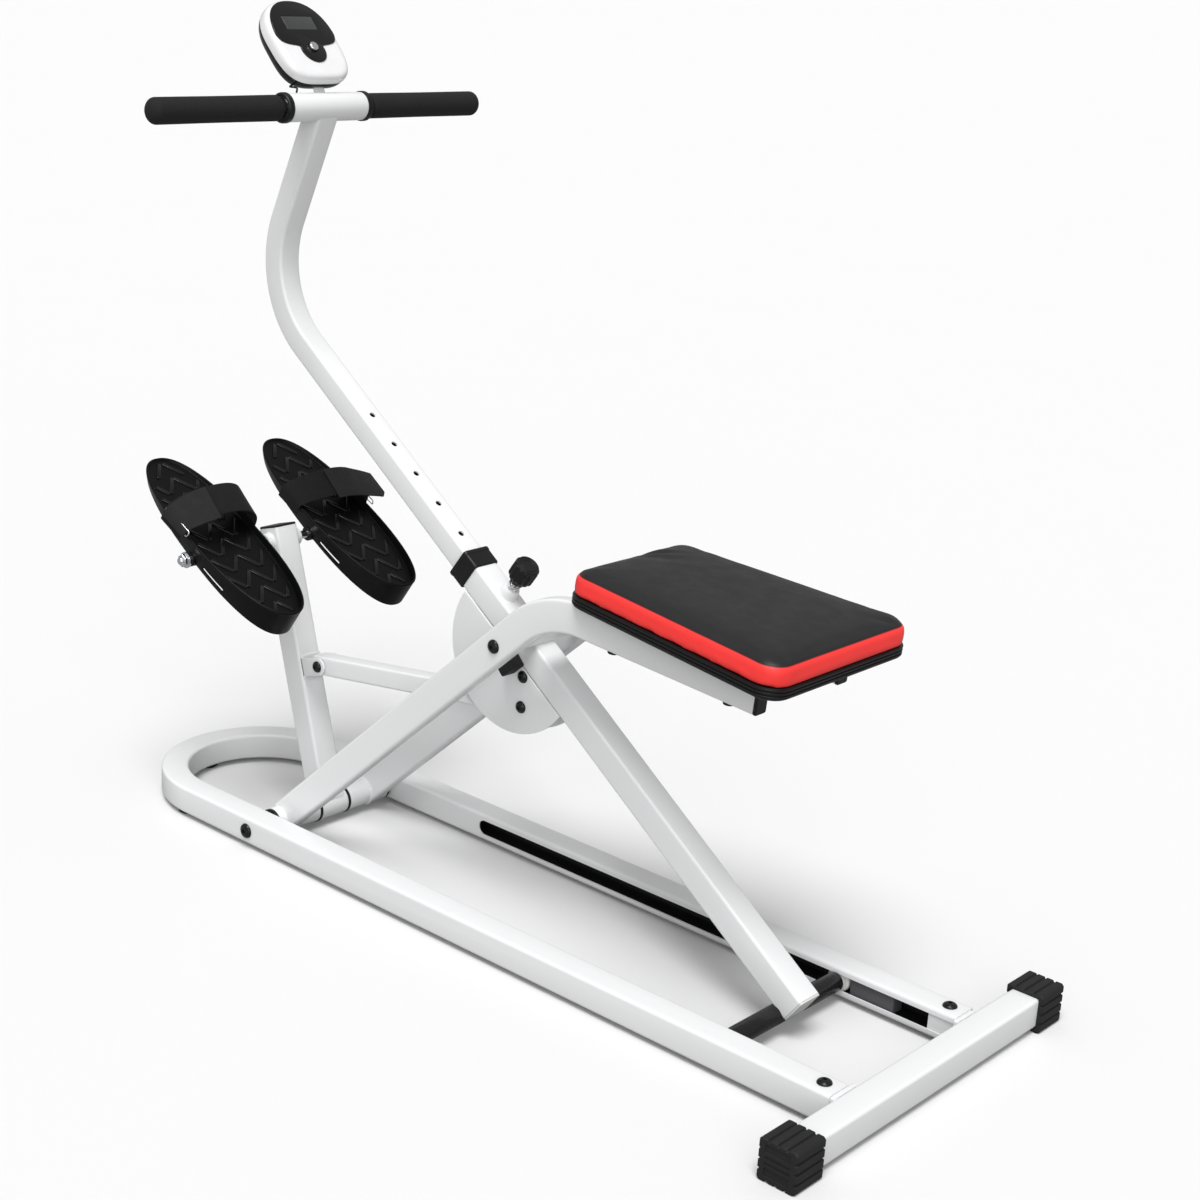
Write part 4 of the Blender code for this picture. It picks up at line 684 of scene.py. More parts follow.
def moulded(name, rgb, rough, grain, strength, **sockets):
    """Moulded plastic or rubber: fine spark grain, faint flow clouding and a trace of dust."""
    tree, shader, where = new_finish(name, **sockets)
    base = mixed(tree, noise(tree, where, 22.0, 4.0), shade(rgb, 0.86), shade(rgb, 1.14))
    dust = ranged(tree, noise(tree, where, 420.0, 5.0, 0.7), 0.64, 0.76, 0.0, 0.15)
    base = mixed(tree, dust, base, shade(rgb, 2.2))
    gloss = ranged(tree, noise(tree, where, 45.0, 4.0), 0.3, 0.7, rough - 0.04, rough + 0.05)
    fine = relief(tree, cells(tree, where, grain), strength, 0.00025)
    link(tree, shader, base, gloss, relief(tree, noise(tree, where, 35.0), 0.05, 0.001, fine))


def foam(rgb):
    """Closed-cell foam: pits of two sizes, dull all over."""
    tree, shader, where = new_finish("foam grip", Specular_IOR_Level=0.25, Roughness=0.85)
    pits = maths(tree, "ADD", cells(tree, where, 1500.0), maths(tree, "MULTIPLY", cells(tree, where, 420.0), 0.6))
    base = mixed(tree, ranged(tree, pits, 0.2, 0.9, 0.0, 1.0), shade(rgb, 0.6), shade(rgb, 1.2))
    base = mixed(tree, ranged(tree, noise(tree, where, 30.0), 0.4, 0.7, 0.0, 0.2), base, shade(rgb, 1.5))
    link(tree, shader, base, None, relief(tree, pits, 0.35, 0.0004))


def steel(name, rgb, rough, metallic):
    """Bolts, axles and tube insides: black oxide, bright plate or bare steel with drawing marks and mottling."""
    tree, shader, where = new_finish(name, Metallic=metallic)
    base = mixed(tree, noise(tree, where, 120.0, 5.0), shade(rgb, 0.85), shade(rgb, 1.12))
    marks = node(tree, "Mapping", {"Vector": where, "Scale": (60.0, 2600.0, 60.0)}).outputs[0]
    gloss = ranged(tree, noise(tree, marks, 1.0, 3.0), 0.3, 0.7, rough - 0.05, rough + 0.08)
    link(tree, shader, base, gloss, relief(tree, noise(tree, marks, 1.0, 2.0), 0.05, 0.0001))


def seat_vinyl(top, band, band_top):
    """Grained vinyl, black above and coloured on the side band, split at the seam's height, with a painted shade line
    along the seam.
    """
    tree, shader, where = new_finish("two tone seat vinyl", Specular_IOR_Level=0.3)
    up = tuple(SEAT[1][2])
    height = node(tree, "VectorMath", {0: where, 1: up}, operation="DOT_PRODUCT").outputs["Value"]
    seam = float(SEAT[0] @ SEAT[1][2]) + band_top
    above = ranged(tree, height, seam - 0.0002, seam + 0.0002, 0.0, 1.0)
    grain = cells(tree, where, 900.0, "SMOOTH_F1")
    worn = ranged(tree, noise(tree, where, 9.0, 4.0), 0.35, 0.7, 0.0, 1.0)
    black = mixed(tree, worn, shade(top, 0.85), shade(top, 1.2))
    black = mixed(tree, ranged(tree, grain, 0.1, 0.5, 0.0, 0.5), shade(top, 0.6), black)
    red = mixed(tree, worn, shade(band, 0.96), band)
    red = mixed(tree, ranged(tree, grain, 0.0, 0.25, 0.15, 0.0), red, shade(band, 0.75))
    # A darker line on either side of the seam's height: painted shade in the seam's crease.
    line = maths(tree, "ABSOLUTE", maths(tree, "SUBTRACT", height, seam))
    base = mixed(tree, above, red, black)
    base = mixed(tree, ranged(tree, line, 0.0003, 0.0011, 0.8, 0.0), base, shade(top, 0.5))
    rough = ranged(tree, noise(tree, where, 40.0, 4.0), 0.3, 0.7, 0.40, 0.52)
    creases = relief(tree, noise(tree, where, 30.0, 4.0, 0.5), 0.10, 0.0012)
    link(tree, shader, base, rough, relief(tree, grain, 0.18, 0.0004, creases))


def webbing(name, rgb, pitch, pile):
    """Woven strap: ribs of warp and weft on the strap's own length and width, fuzzed by noise."""
    tree, shader, _ = new_finish(name, Roughness=0.88, Specular_IOR_Level=0.2, Sheen_Weight=0.06, Sheen_Roughness=0.4)
    span = node(tree, "Attribute", attribute_name="strap_span").outputs["Vector"]
    parts = node(tree, "SeparateXYZ", {0: span})
    along = maths(tree, "SINE", maths(tree, "MULTIPLY", parts.outputs[0], 2 * math.pi / pitch))
    across = maths(tree, "SINE", maths(tree, "MULTIPLY", parts.outputs[1], 2 * math.pi / (pitch * 0.8)))
    weave = ranged(tree, maths(tree, "MULTIPLY", along, across), -1.0, 1.0, 0.0, 1.0)
    fuzz = noise(tree, span, 1800.0, 4.0, 0.7)
    height = maths(tree, "ADD", maths(tree, "MULTIPLY", weave, 1.0 - pile), maths(tree, "MULTIPLY", fuzz, pile))
    base = mixed(tree, height, shade(rgb, 0.5), shade(rgb, 1.5))
    base = mixed(tree, ranged(tree, noise(tree, span, 60.0), 0.45, 0.7, 0.0, 0.3), base, shade(rgb, 1.6))
    link(tree, shader, base, None, relief(tree, height, 0.45, 0.0005))


def shell(name, rgb, rough, coat):
    """Glossy console plastic: slight orange peel, faint haze and fine dust."""
    tree, shader, where = new_finish(name, Coat_Weight=coat, Coat_Roughness=0.05, Specular_IOR_Level=0.3)
    base = mixed(tree, ranged(tree, noise(tree, where, 40.0, 4.0), 0.35, 0.7, 0.0, 1.0), shade(rgb, 0.96), rgb)
    gloss = ranged(tree, noise(tree, where, 120.0, 5.0), 0.35, 0.75, rough, rough + 0.08)
    link(tree, shader, base, gloss, relief(tree, noise(tree, where, 300.0, 2.0), 0.03, 0.0003))


def display():
    """A switched-off liquid crystal window: dark glass over a faint grid of dots."""
    tree, shader, where = new_finish("console display", Coat_Weight=0.5, Coat_Roughness=0.03, Roughness=0.25)
    local = node(tree, "VectorMath", {0: where, 1: tuple(CONSOLE[1][1])}, operation="DOT_PRODUCT").outputs["Value"]
    side = node(tree, "SeparateXYZ", {0: where}).outputs[1]
    rows = maths(tree, "SINE", maths(tree, "MULTIPLY", local, 2 * math.pi / 0.0007))
    columns = maths(tree, "SINE", maths(tree, "MULTIPLY", side, 2 * math.pi / 0.0007))
    dots = ranged(tree, maths(tree, "MULTIPLY", rows, columns), 0.0, 1.0, 0.0, 0.5)
    base = mixed(tree, dots, (0.032, 0.034, 0.033), (0.026, 0.028, 0.027))
    link(tree, shader, mixed(tree, noise(tree, where, 60.0), base, (0.038, 0.040, 0.039)))


def studio_floor(rgb):
    """Pale studio floor, faintly mottled, that throws little of its light back up at the machine."""
    tree, shader, where = new_finish("studio floor", Roughness=0.9, Specular_IOR_Level=0.0)
    pale = mixed(tree, noise(tree, where, 1.3, 3.0), shade(rgb, 0.992), rgb)
    seen = node(tree, "LightPath").outputs["Is Camera Ray"]
    link(tree, shader, mixed(tree, seen, shade(rgb, 0.40), pale))


# Operators: one for each piece or group of like pieces.


class RIDING_OT_stage(bpy.types.Operator):
    """Camera at the photograph's angle, soft studio light and a plain pale floor"""

    bl_idname = "riding.stage"
    bl_label = "Stage"

    def execute(self, context):
        scene, settings = context.scene, context.scene.riding_stage
        # The camera's lens, turn and place, solved from the photograph's edges.
        camera = bpy.data.objects.new("camera", bpy.data.cameras.new("camera"))
        scene.collection.objects.link(camera)
        camera.data.sensor_width = 36.0
        camera.data.lens = 63.15
        camera.data.clip_end = 3000.0
        az, el, roll = (math.radians(v) for v in (40.206, 17.635, 3.756))
        ahead = np.array([-math.sin(az) * math.cos(el), math.cos(az) * math.cos(el), -math.sin(el)])
        right = np.array([math.cos(az), math.sin(az), 0.0])
        up = np.cross(right, ahead)
        c, s = math.cos(roll), math.sin(roll)
        pose = np.eye(4)
        pose[:3, :3] = np.array([right * c + up * s, up * c - right * s, -ahead]).T
        pose[:3, 3] = (1.76054, -1.94677, 1.28308)
        camera.matrix_world = pose.T.tolist()
        scene.camera = camera
        scene.view_settings.view_transform = "Standard"
        for name, energy, spread, angles in (
            ("key lamp", settings.key, 30, (22, 0, 30)),
            ("fill lamp", settings.fill, 60, (75, 0, 43)),
        ):
            lamp = bpy.data.lights.new(name, "SUN")
            lamp.energy = energy
            lamp.angle = math.radians(spread)
            obj = bpy.data.objects.new(name, lamp)
            obj.rotation_euler = [math.radians(a) for a in angles]
            scene.collection.objects.link(obj)
        # A room of even light that the camera sees as plain white.
        backdrop = bpy.data.worlds.new("white studio")
        scene.world = backdrop
        backdrop.use_nodes = True
        tree = backdrop.node_tree
        room = tree.nodes["Background"]
        room.inputs["Color"].default_value = (1, 1, 1, 1)
        room.inputs["Strength"].default_value = settings.sky
        seen = node(tree, "Background", {"Color": (1, 1, 1, 1), "Strength": 1.0})
        path = node(tree, "LightPath")
        mix = node(tree, "MixShader", {0: path.outputs["Is Camera Ray"], 1: room.outputs[0], 2: seen.outputs[0]})
        tree.links.new(mix.outputs[0], tree.nodes["World Output"].inputs[0])
        studio_floor(tuple(scene.riding_colours.floor))
        # The floor: a wide flat grid, finest near the machine.
        count = 41
        line = np.linspace(-1, 1, count) ** 3 * 800
        x, y = np.meshgrid(line, line, indexing="ij")
        grid = np.stack([x, y, 0 * x], -1).reshape(-1, 3)
        corner = (np.arange(count - 1)[:, None] * count + np.arange(count - 1)).ravel()
        faces = np.stack([corner, corner + count, corner + count + 1, corner + 1], -1)
        mesh = bpy.data.meshes.new("floor")
        mesh.from_pydata(grid.tolist(), [], faces.tolist())
        floor = bpy.data.objects.new("floor", mesh)
        mesh.materials.append(bpy.data.materials["studio floor"])
        scene.collection.objects.link(floor)
        return {"FINISHED"}


class RIDING_OT_finishes(bpy.types.Operator):
    """Node materials for paint, plastics, rubber, vinyl, webbing, metals and display"""

    bl_idname = "riding.finishes"
    bl_label = "Finishes"

    def execute(self, context):
        tints, seat = context.scene.riding_colours, context.scene.riding_seat
        plastic, rubber = tuple(tints.plastic), tuple(tints.rubber)
        powder_coat(tuple(tints.paint))
        moulded(PLASTIC, plastic, 0.38, 2600.0, 0.10, Specular_IOR_Level=0.3)
        moulded("pedal plastic", shade(plastic, 0.5), 0.32, 1700.0, 0.10, Specular_IOR_Level=0.12)
        # The treads and axle tunnel are the dish's plastic, made lighter: a painted highlight for the sheen on the
        # tread edges.
        moulded("pedal tread plastic", shade(plastic, 0.8), 0.24, 1700.0, 0.04, Specular_IOR_Level=0.3)
        moulded(RUBBER, rubber, 0.60, 1300.0, 0.20, Specular_IOR_Level=0.25)
        moulded("grey rubber", (0.11, 0.11, 0.12), 0.65, 1300.0, 0.22, Specular_IOR_Level=0.25)
        moulded("white nylon", (0.70, 0.70, 0.68), 0.36, 2000.0, 0.06)
        foam((0.0135, 0.0135, 0.0140))
        steel(BLACK_STEEL, (0.014, 0.014, 0.015), 0.24, 0.4)
        # Inside of the tubes: bare steel, darkened to near black as painted shade where little light reaches.
        steel("bare steel inside", (0.011, 0.011, 0.012), 0.65, 0.3)
        steel(PLATED, (0.74, 0.75, 0.77), 0.17, 1.0)
        seat_vinyl(tuple(tints.vinyl), tuple(tints.band), seat.base + GAP + seat.band)
        webbing("strap webbing", tuple(tints.webbing), 0.0022, 0.35)
        webbing("strap hook patch", shade(tuple(tints.webbing), 1.9), 0.0013, 0.7)
        shell("white console shell", tuple(tints.console), 0.10, 0.6)
        shell("black console gloss", (0.006, 0.006, 0.0065), 0.10, 0.12)
        display()
        return {"FINISHED"}


def through(route, steps=6):
    """A Catmull-Rom curve through the points of a route: each stretch is the cubic whose slope at either end
    is half the step between that end's neighbours."""
    padded = np.array([route[0] * 2 - route[1], *route, route[-1] * 2 - route[-2]])
    a, b, c, d = (padded[i : len(padded) - 3 + i][:, None] for i in range(4))
    t = (np.arange(steps) / steps)[None, :, None]
    line = 0.5 * (2 * b + (c - a) * t + (2 * a - 5 * b + 4 * c - d) * t**2 + (3 * b - a - 3 * c + d) * t**3)
    return np.concatenate([line.reshape(-1, 3), route[-1][None]])


class RIDING_OT_console_lead(bpy.types.Operator):
    """Short sensor lead from the console's underside into the handlebar sleeve"""

    bl_idname = "riding.console_lead"
    bl_label = "Console lead"

    def execute(self, context):
        top, leave = HANDLEBAR + LEAD_HOLE, world(CONSOLE, LEAD_EXIT)
        line = through([leave, leave + LEAD_START, top + (-0.002, 0.002, 0.006), top, top + (0, 0, -0.003)])
        curve = bpy.data.curves.new("console_lead_cable", "CURVE")
        curve.dimensions = "3D"
        curve.bevel_depth = LEAD_RADIUS
        curve.bevel_resolution = 4
        curve.use_fill_caps = True
        spline = curve.splines.new("POLY")
        spline.points.add(len(line) - 1)
        spline.points.foreach_set("co", np.column_stack([line, np.ones(len(line))]).ravel())
        lead = bpy.data.objects.new("console_lead_cable", curve)
        context.scene.collection.objects.link(lead)
        curve.materials.append(bpy.data.materials[RUBBER])
        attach(lead, "bar_post")
        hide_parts("console_lead")
        return {"FINISHED"}


class RIDING_OT_base(bpy.types.Operator):
    """U-shaped base rail with roller slots, rear cross tube and its bracket"""

    bl_idname = "riding.base"
    bl_label = "Base"

    def execute(self, context):
        size = context.scene.riding_frame
        bend_x, end_x = -0.143, 1.018
        run = end_x - bend_x
        path = walk((end_x, -RAIL_Y), math.pi, [(run,), (RAIL_Y, -math.pi), (run,)], 2.5)
        rail = tube(about_y(AXLE), size.tube, size.tube, size.fillet, size.wall, path)
        slot = np.concatenate([arc(0.215, 0, 0.011, 90, 270, 16), [(end_x + 0.01, -0.011), (end_x + 0.01, 0.011)]])
        inner = RAIL_Y - size.tube / 2 + size.wall / 2
        holes = [plate(spot(0, 0, sign * inner), slot, 0.005, 0.0001) for _, sign in SIDES]
        holes += [rod(spot(*RAIL_SCREW, sign * RAIL_Y), 0.0043, -0.006, 0.006) for _, sign in SIDES]
        put("base_rail", [rail], PAINT, "base", ["base_frame"], [*holes, bore(AXLE, 0.0084, 0.165)], hollow=True)
        across = (from_axle(CROSS_TUBE_X, 0), np.array([[0, 1.0, 0], [-1, 0, 0], [0, 0, 1]]))
        bar = square_tube(across, -0.2795, 0.2795)
        put("rear_cross_tube", [bar], PAINT, "base", ["cross_tube"])
        face = CROSS_TUBE_X - size.tube / 2 - GAP
        bracket = [brick(spot(face - 0.007, -0.018), (0.014, 0.224, 0.003), 0.0006)]
        for _, sign in SIDES:
            profile = ((0.978, 0.001), (0.979, 0), (face, 0))
            bracket.append(block(spot(0, 0, sign * RAIL_Y), profile, 0.0352, 0.0352, 0.003))
            bracket.append(brick(spot(face - 0.0031, 0, sign * (RAIL_Y - 0.006)), (0.006, 0.040, 0.038), 0.0012))
        put("rear_joint_bracket", bracket, PAINT, "base", ["rear_bracket"])
        return {"FINISHED"}


class RIDING_OT_feet(bpy.types.Operator):
    """Ribbed rubber end caps, floor pads, rail stops and rail screws"""

    bl_idname = "riding.feet"
    bl_label = "Feet and rail fittings"

    def execute(self, context):
        # The cap's outline: one side with three grooves, turned four times and softened.
        half, groove, depth, pitch, corner = 0.0264, 0.004, 0.0025, 0.013, 0.003
        edge = [(-half + corner, -half)]
        for middle in (-pitch, 0, pitch):
            left, right = middle - groove / 2, middle + groove / 2
            edge += [(left, -half), (left + 0.0004, -half + depth), (right - 0.0004, -half + depth), (right, -half)]
        edge = np.array(edge + [(half - corner, -half)])
        quarters = [edge @ np.array([[c, s], [-s, c]]) for c, s in ((1, 0), (0, 1), (-1, 0), (0, -1))]
        outline = soften(np.concatenate(quarters), 0.0009, closed=True)
        deep = 0.0265
        near = np.array([(-deep, 0.90), (-deep, 0.955), (0.002 - deep, 1)])
        levels = soften(np.concatenate([near, near[::-1] * (-1, 1)]), 0.0012)
        dome = [(0, 0.0052), (0.005, 0.0049), (0.0085, 0.0028), (0.0098, 0.0003), (0.0040, 0.0003)]
        dome += [(0.0040, -0.01), (0, -0.01)]
        for side, sign in SIDES:
            # Each ring is the grooved outline times its level's share, at the level's place across the machine.
            across, share = sign * levels[:, :1], levels[:, 1:]
            rings = np.stack([outline[:, 0] * share, across + 0 * outline[:, 0], outline[:, 1] * share], -1)
            cap = skin(rings + from_axle(CROSS_TUBE_X, -0.0006, sign * (0.285 - deep)), capped=True)
            holes = [brick(spot(CROSS_TUBE_X, 0, sign * 0.2535), (0.0406, 0.053, 0.0406), 0.002)]
            for z, tall in ((0.0145, 0.011), (0.0038, 0.003), (-0.0038, 0.003), (-0.0145, 0.011)):
                holes.append(brick(spot(CROSS_TUBE_X, z, sign * 0.285), (0.034, 0.003, tall), 0.0006))
            put("rubber_end_cap_" + side, [cap], RUBBER, "base", ["end_cap_" + side], holes)
            at = spot(*RAIL_SCREW, sign * RAIL_Y)
            hole = socket(raised(at, 0.0052))
            put("button_screw_" + side, [turned(at, dome, 0.0008)], BLACK_STEEL, "base", ["rail_screw_" + side], [hole])
            stop = brick(spot(0.8925, -0.0042, sign * 0.130), (0.066, 0.024, 0.027), 0.003)
            put("roller_stop_" + side, [stop], "grey rubber", "base", ["rail_stop_" + side])
        top = AXLE[2] - HALF_TUBE - GAP
        disc = [(0, top), (0.014, top), (0.014, 0.002), (0.012, 0), (0.009, 0), (0.009, 0.0012), (0, 0.0012)]
        for name, x, y in (("front", -0.276, 0.0), ("left", -0.158, -RAIL_Y), ("right", -0.158, RAIL_Y)):
            pad = turned(place_at((AXLE[0] + x, y, 0)), disc, 0.0006)
            put("floor_pad_" + name, [pad], RUBBER, "base", ["foot_pad_" + name])
        return {"FINISHED"}


class RIDING_OT_front_axle(bpy.types.Operator):
    """Front axle with button heads, washers and spacer rings"""

    bl_idname = "riding.front_axle"
    bl_label = "Front axle"

    def execute(self, context):
        outer, inner = RAIL_Y + HALF_TUBE + GAP, RAIL_Y - HALF_TUBE - GAP
        head = [(0, 0.0055), (0.006, 0.0051), (0.010, 0.0028), (0.011, 0.0004), (0.011, 0), (0.008, 0)]
        half = [*np.add(head, (0, outer)), (0.008, inner), (0.014, inner), (0.014, 0.1095), (0.0195, 0.1095)]
        half += [(0.0195, 0.1045), (0.010, 0.1045), (0.010, 0.0293), (0.021, 0.0293), (0.021, 0.0253), (0.010, 0.0253)]
        holes = sockets(AXLE, outer + 0.0055, 0.0025, 0.0034)
        put("front_axle_bar", [cross_bar(AXLE, half, 0.0006)], BLACK_STEEL, "base", ["front_axle"], holes)
        return {"FINISHED"}


class RIDING_OT_seat_frame(bpy.types.Operator):
    """Two bent seat arms on their sleeves, end plugs, curved brace and pivot bolt"""

    bl_idname = "riding.seat_frame"
    bl_label = "Seat frame"

    def execute(self, context):
        size = context.scene.riding_frame
        # The bend starts and ends one tangent's length from the corner, reach away from the axle.
        turn = ARM_ANGLE + SEAT_SLOPE
        tangent = ARM_BEND * math.tan(turn / 2)
        reach = math.hypot(*ARM_CORNER)
        level = (ARM_END_X - ARM_CORNER[0]) / math.cos(SEAT_SLOPE) - tangent
        start = ARM_WAY * 0.006 + ARM_UP * 0.0013
        path = walk(start, ARM_ANGLE, [(reach - tangent - 0.006,), (ARM_BEND, -turn), (level,)], 2.0)
        plug = [(-0.014, 0.003), (-0.010, 0.0024), (GAP, 0.0024), (GAP, 0.0), (0.0035, 0), (0.0048, 0.0014)]
        for side, sign in SIDES:
            y = sign * ARM_Y
            arm = tube(spot(0, 0, y), size.arm_width, ARM_DEPTH, 0.004, size.wall, path)
            holes = [bore(from_axle(0, 0, y), SLEEVE_BORE, 0.02, 48), bore(from_axle(*SEAT_PIVOT, y), PIVOT_BORE, 0.02)]
            for x in SEAT_SCREWS_X:
                holes.append(rod(place_at(on_arm(x, y), -SEAT_SLOPE), 0.0034, -0.03, 0.03, 20))
            put("seat_arm_tube_" + side, [arm], PAINT, "seat_frame", ["seat_arm_" + side], holes)
            sleeve = pipe(about_y(AXLE), *SLEEVE_RADII, sign * 0.0296, sign * 0.1042, 0.0005)
            put("arm_sleeve_" + side, [sleeve, weld_ring(from_axle(0, 0, y), sign)], PAINT, "seat_frame")
            at = place_at(on_arm(ARM_END_X, y), -SEAT_SLOPE)
            cap = block(at, plug, size.arm_width, ARM_DEPTH, 0.0035, 0.0008)
            put("arm_end_plug_" + side, [cap], PLASTIC, "seat_frame", ["arm_plug_" + side])
        clear = 2 * (ARM_Y - size.arm_width / 2 - GAP)
        offset = ARM_DEPTH / 2 - 0.0015
        low = ARM_WAY * (reach - tangent - 0.020) + ARM_UP * (0.0013 - offset)
        curve = walk(low, ARM_ANGLE, [(0.020,), (ARM_BEND - offset, -turn), (0.050,)], 2.0)
        web = skin(world(place_at(AXLE), sweep(section(clear, 0.003, 0.0012), *curve)), capped=True)
        put("seat_arm_brace", [web], PAINT, "seat_frame", ["arm_brace"])
        outer, inner = ARM_Y + size.arm_width / 2 + GAP, ARM_Y - size.arm_width / 2 - GAP
        head = [(0, 0.005), (0.005, 0.0047), (0.0085, 0.0026), (0.0095, 0.0004), (0.0095, 0), (0.006, 0)]
        half = [*np.add(head, (0, outer)), (0.006, inner), (0.009, inner), (0.009, 0.0265), (0.006, 0.0265)]
        holes = sockets(PIVOT, outer + 0.005, 0.0022, 0.003)
        put("seat_pivot_bar", [cross_bar(PIVOT, half, 0.0006)], BLACK_STEEL, "seat_frame", ["seat_pivot_bolt"], holes)
        return {"FINISHED"}


def weld_ring(middle, sign):
    """A weld bead round the sleeve beside an arm: a small ring whose radius ripples along its length."""
    around, about = np.meshgrid(circle(120), circle(8), indexing="ij")
    bead = 0.0016 * (1 + 0.25 * np.cos(40 * around))
    radius = 0.0202 + bead * np.cos(about)
    y = bead * np.sin(about) - sign * 0.0109
    return skin(np.stack([radius * np.cos(around), y, radius * np.sin(around)], -1) + middle, joined=True)


def seat_outline(size, inset, steps=14):
    """The seat from above about its middle, narrower in front: four arcs of the corner radius joined by lines."""
    radius = max(size.corner - inset, 0.006)
    half = size.long / 2 - inset - radius
    front, rear = size.front - inset - radius, size.rear - inset - radius
    lean = math.degrees(math.atan2(rear - front, 2 * half))
    share = np.linspace(0, 1, 14)[1:-1, None]

    def side(start, end):
        return start * (1 - share) + end * share

    rear_arc = arc(half, rear, radius, 0, 90 + lean, steps)
    front_arc = arc(-half, front, radius, 90 + lean, 180, steps)
    top = np.concatenate([rear_arc, side(rear_arc[-1], front_arc[0]), front_arc])
    mirrored = top[::-1] * (1, -1)
    return np.concatenate([top, side(top[-1], mirrored[0]), mirrored, side(mirrored[-1], top[0])])


def seat_rings(size, levels):
    """Rings of the seat's outline at each (height, inset)."""
    rings = []
    for z, inset in levels:
        flat = seat_outline(size, inset)
        rings.append(np.column_stack([flat, np.full(len(flat), z)]))
    return np.array(rings)


class RIDING_OT_seat_base(bpy.types.Operator):
    """Ribbed seat base with its four screws from below"""

    bl_idname = "riding.seat_base"
    bl_label = "Seat base"

    def execute(self, context):
        size = context.scene.riding_seat
        levels = [(0, 0.03), (0, 0.005), (0.002, 0.002)]
        for low in (0.0035, 0.0078, 0.0121):
            levels += [(low - 0.0003, 0.0024), (low, 0.0006), (low + 0.0028, 0.0004), (low + 0.0031, 0.0024)]
        levels += [(size.base, 0.0024), (size.base, 0.03)]
        tray = skin(world(SEAT, soften(seat_rings(size, levels), 0.0007)), capped=True)
        under = ARM_DEPTH + GAP
        head = [(0, 0.004), (0.003, 0.004), (0.003, -under), (0.0075, -under), (0.0070, -under - 0.0032)]
        head += [(0.004, -under - 0.004), (0, -under - 0.004)]
        screws = [
            turned(place_at(on_arm(x, sign * ARM_Y, ARM_DEPTH / 2), -SEAT_SLOPE), head, 0.0006, segments=32)
            for _, sign in SIDES for x in SEAT_SCREWS_X
        ]
        put("ribbed_seat_base", [tray], PLASTIC, "seat_frame", ["seat_base"])
        put("seat_screws", screws, BLACK_STEEL, "seat_frame")
        return {"FINISHED"}


class RIDING_OT_cushion(bpy.types.Operator):
    """Padded seat cushion, blown up as cloth, with its seam and pull creases"""

    bl_idname = "riding.cushion"
    bl_label = "Seat cushion"

    def execute(self, context):
        size = context.scene.riding_seat
        low = size.base + GAP
        levels = [(0, 0.02), (0, 0.0026), (0.0035, 0.0012), (0.012, 0.0006), (0.020, 0.0010), (0.0252, 0.0036)]
        levels += [(0.0285, 0.0100), (0.0315, 0.0210), (0.0340, 0.0420), (0.0355, 0.0700)]
        rings = seat_rings(size, [(low + z, inset) for z, inset in levels])
        obj = blank("seat_cushion_cover", skin(world(SEAT, rings), capped=True))
        remesh = obj.modifiers.new("voxels", "REMESH")
        remesh.mode = "VOXEL"
        remesh.voxel_size = size.voxel
        settle(obj)
        blow_up(obj, low, pressure=4.0, most=0.0014)
        shape_cushion(obj, low, size.band)
        obj.data.shade_smooth()
        fine = obj.modifiers.new("fine", "SUBSURF")
        fine.levels = fine.render_levels = 1
        obj.data.materials.append(bpy.data.materials["two tone seat vinyl"])
        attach(obj, "seat_frame")
        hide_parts("seat_cushion")
        return {"FINISHED"}


def blow_up(obj, low, pressure, most):
    """Inflates the cushion by cloth pressure with its underside held, then lets no point go further than most."""
    start = read_points(obj)
    local = (start - SEAT[0]) @ SEAT[1].T
    group = obj.vertex_groups.new(name="underside")
    group.add(np.flatnonzero(local[:, 2] < low + 0.003).tolist(), 1.0, "REPLACE")
    cloth = obj.modifiers.new("cloth", "CLOTH")
    cloth.settings.quality = 5
    cloth.settings.use_pressure = True
    cloth.settings.uniform_pressure_force = pressure
    cloth.settings.vertex_group_mass = "underside"
    cloth.settings.effector_weights.gravity = 0.0
    for number in range(1, 21):
        bpy.context.scene.frame_set(number)
    settle(obj)
    bpy.context.scene.frame_set(1)
    move = read_points(obj) - start
    size = np.maximum(np.linalg.norm(move, axis=1, keepdims=True), 1e-9)
    write_points(obj, start + move * np.minimum(1, most / size))
    obj.vertex_groups.clear()
    even = obj.modifiers.new("even", "SMOOTH")
    even.factor = 0.5
    even.iterations = 7
    settle(obj)


def shape_cushion(obj, low, band):
    """Draws the seam in by a Gaussian of the height, and presses pull creases into the top: each a long
    Gaussian valley with a lower ridge beside it."""
    local = (read_points(obj) - SEAT[0]) @ SEAT[1].T
    height = local[:, 2] - low
    out = local[:, :2] / np.maximum(np.linalg.norm(local[:, :2], axis=1, keepdims=True), 1e-6)
    side = np.clip(1 - np.abs(height - band) / 0.02, 0, 1)
    local[:, :2] -= out * (0.0011 * np.exp(-(((height - band) / 0.0022) ** 2)) * side)[:, None]
    top = np.clip((height - band) / 0.006, 0, 1)
    for x, y, turn, long, wide, deep in (
        (-0.152, 0.030, 38, 0.028, 0.0060, 0.0034),
        (-0.138, 0.012, 30, 0.038, 0.0110, 0.0020),
    ):
        a = math.radians(turn)
        u = (local[:, 0] - x) * math.cos(a) + (local[:, 1] - y) * math.sin(a)
        v = (local[:, 1] - y) * math.cos(a) - (local[:, 0] - x) * math.sin(a)
        valley = np.exp(-((u / long) ** 2) - (v / wide) ** 2)
        ridge = np.exp(-((u / long) ** 2) - ((v - 1.9 * wide) / wide) ** 2)
        local[:, 2] -= top * deep * (valley - 0.45 * ridge)
    write_points(obj, world(SEAT, local))


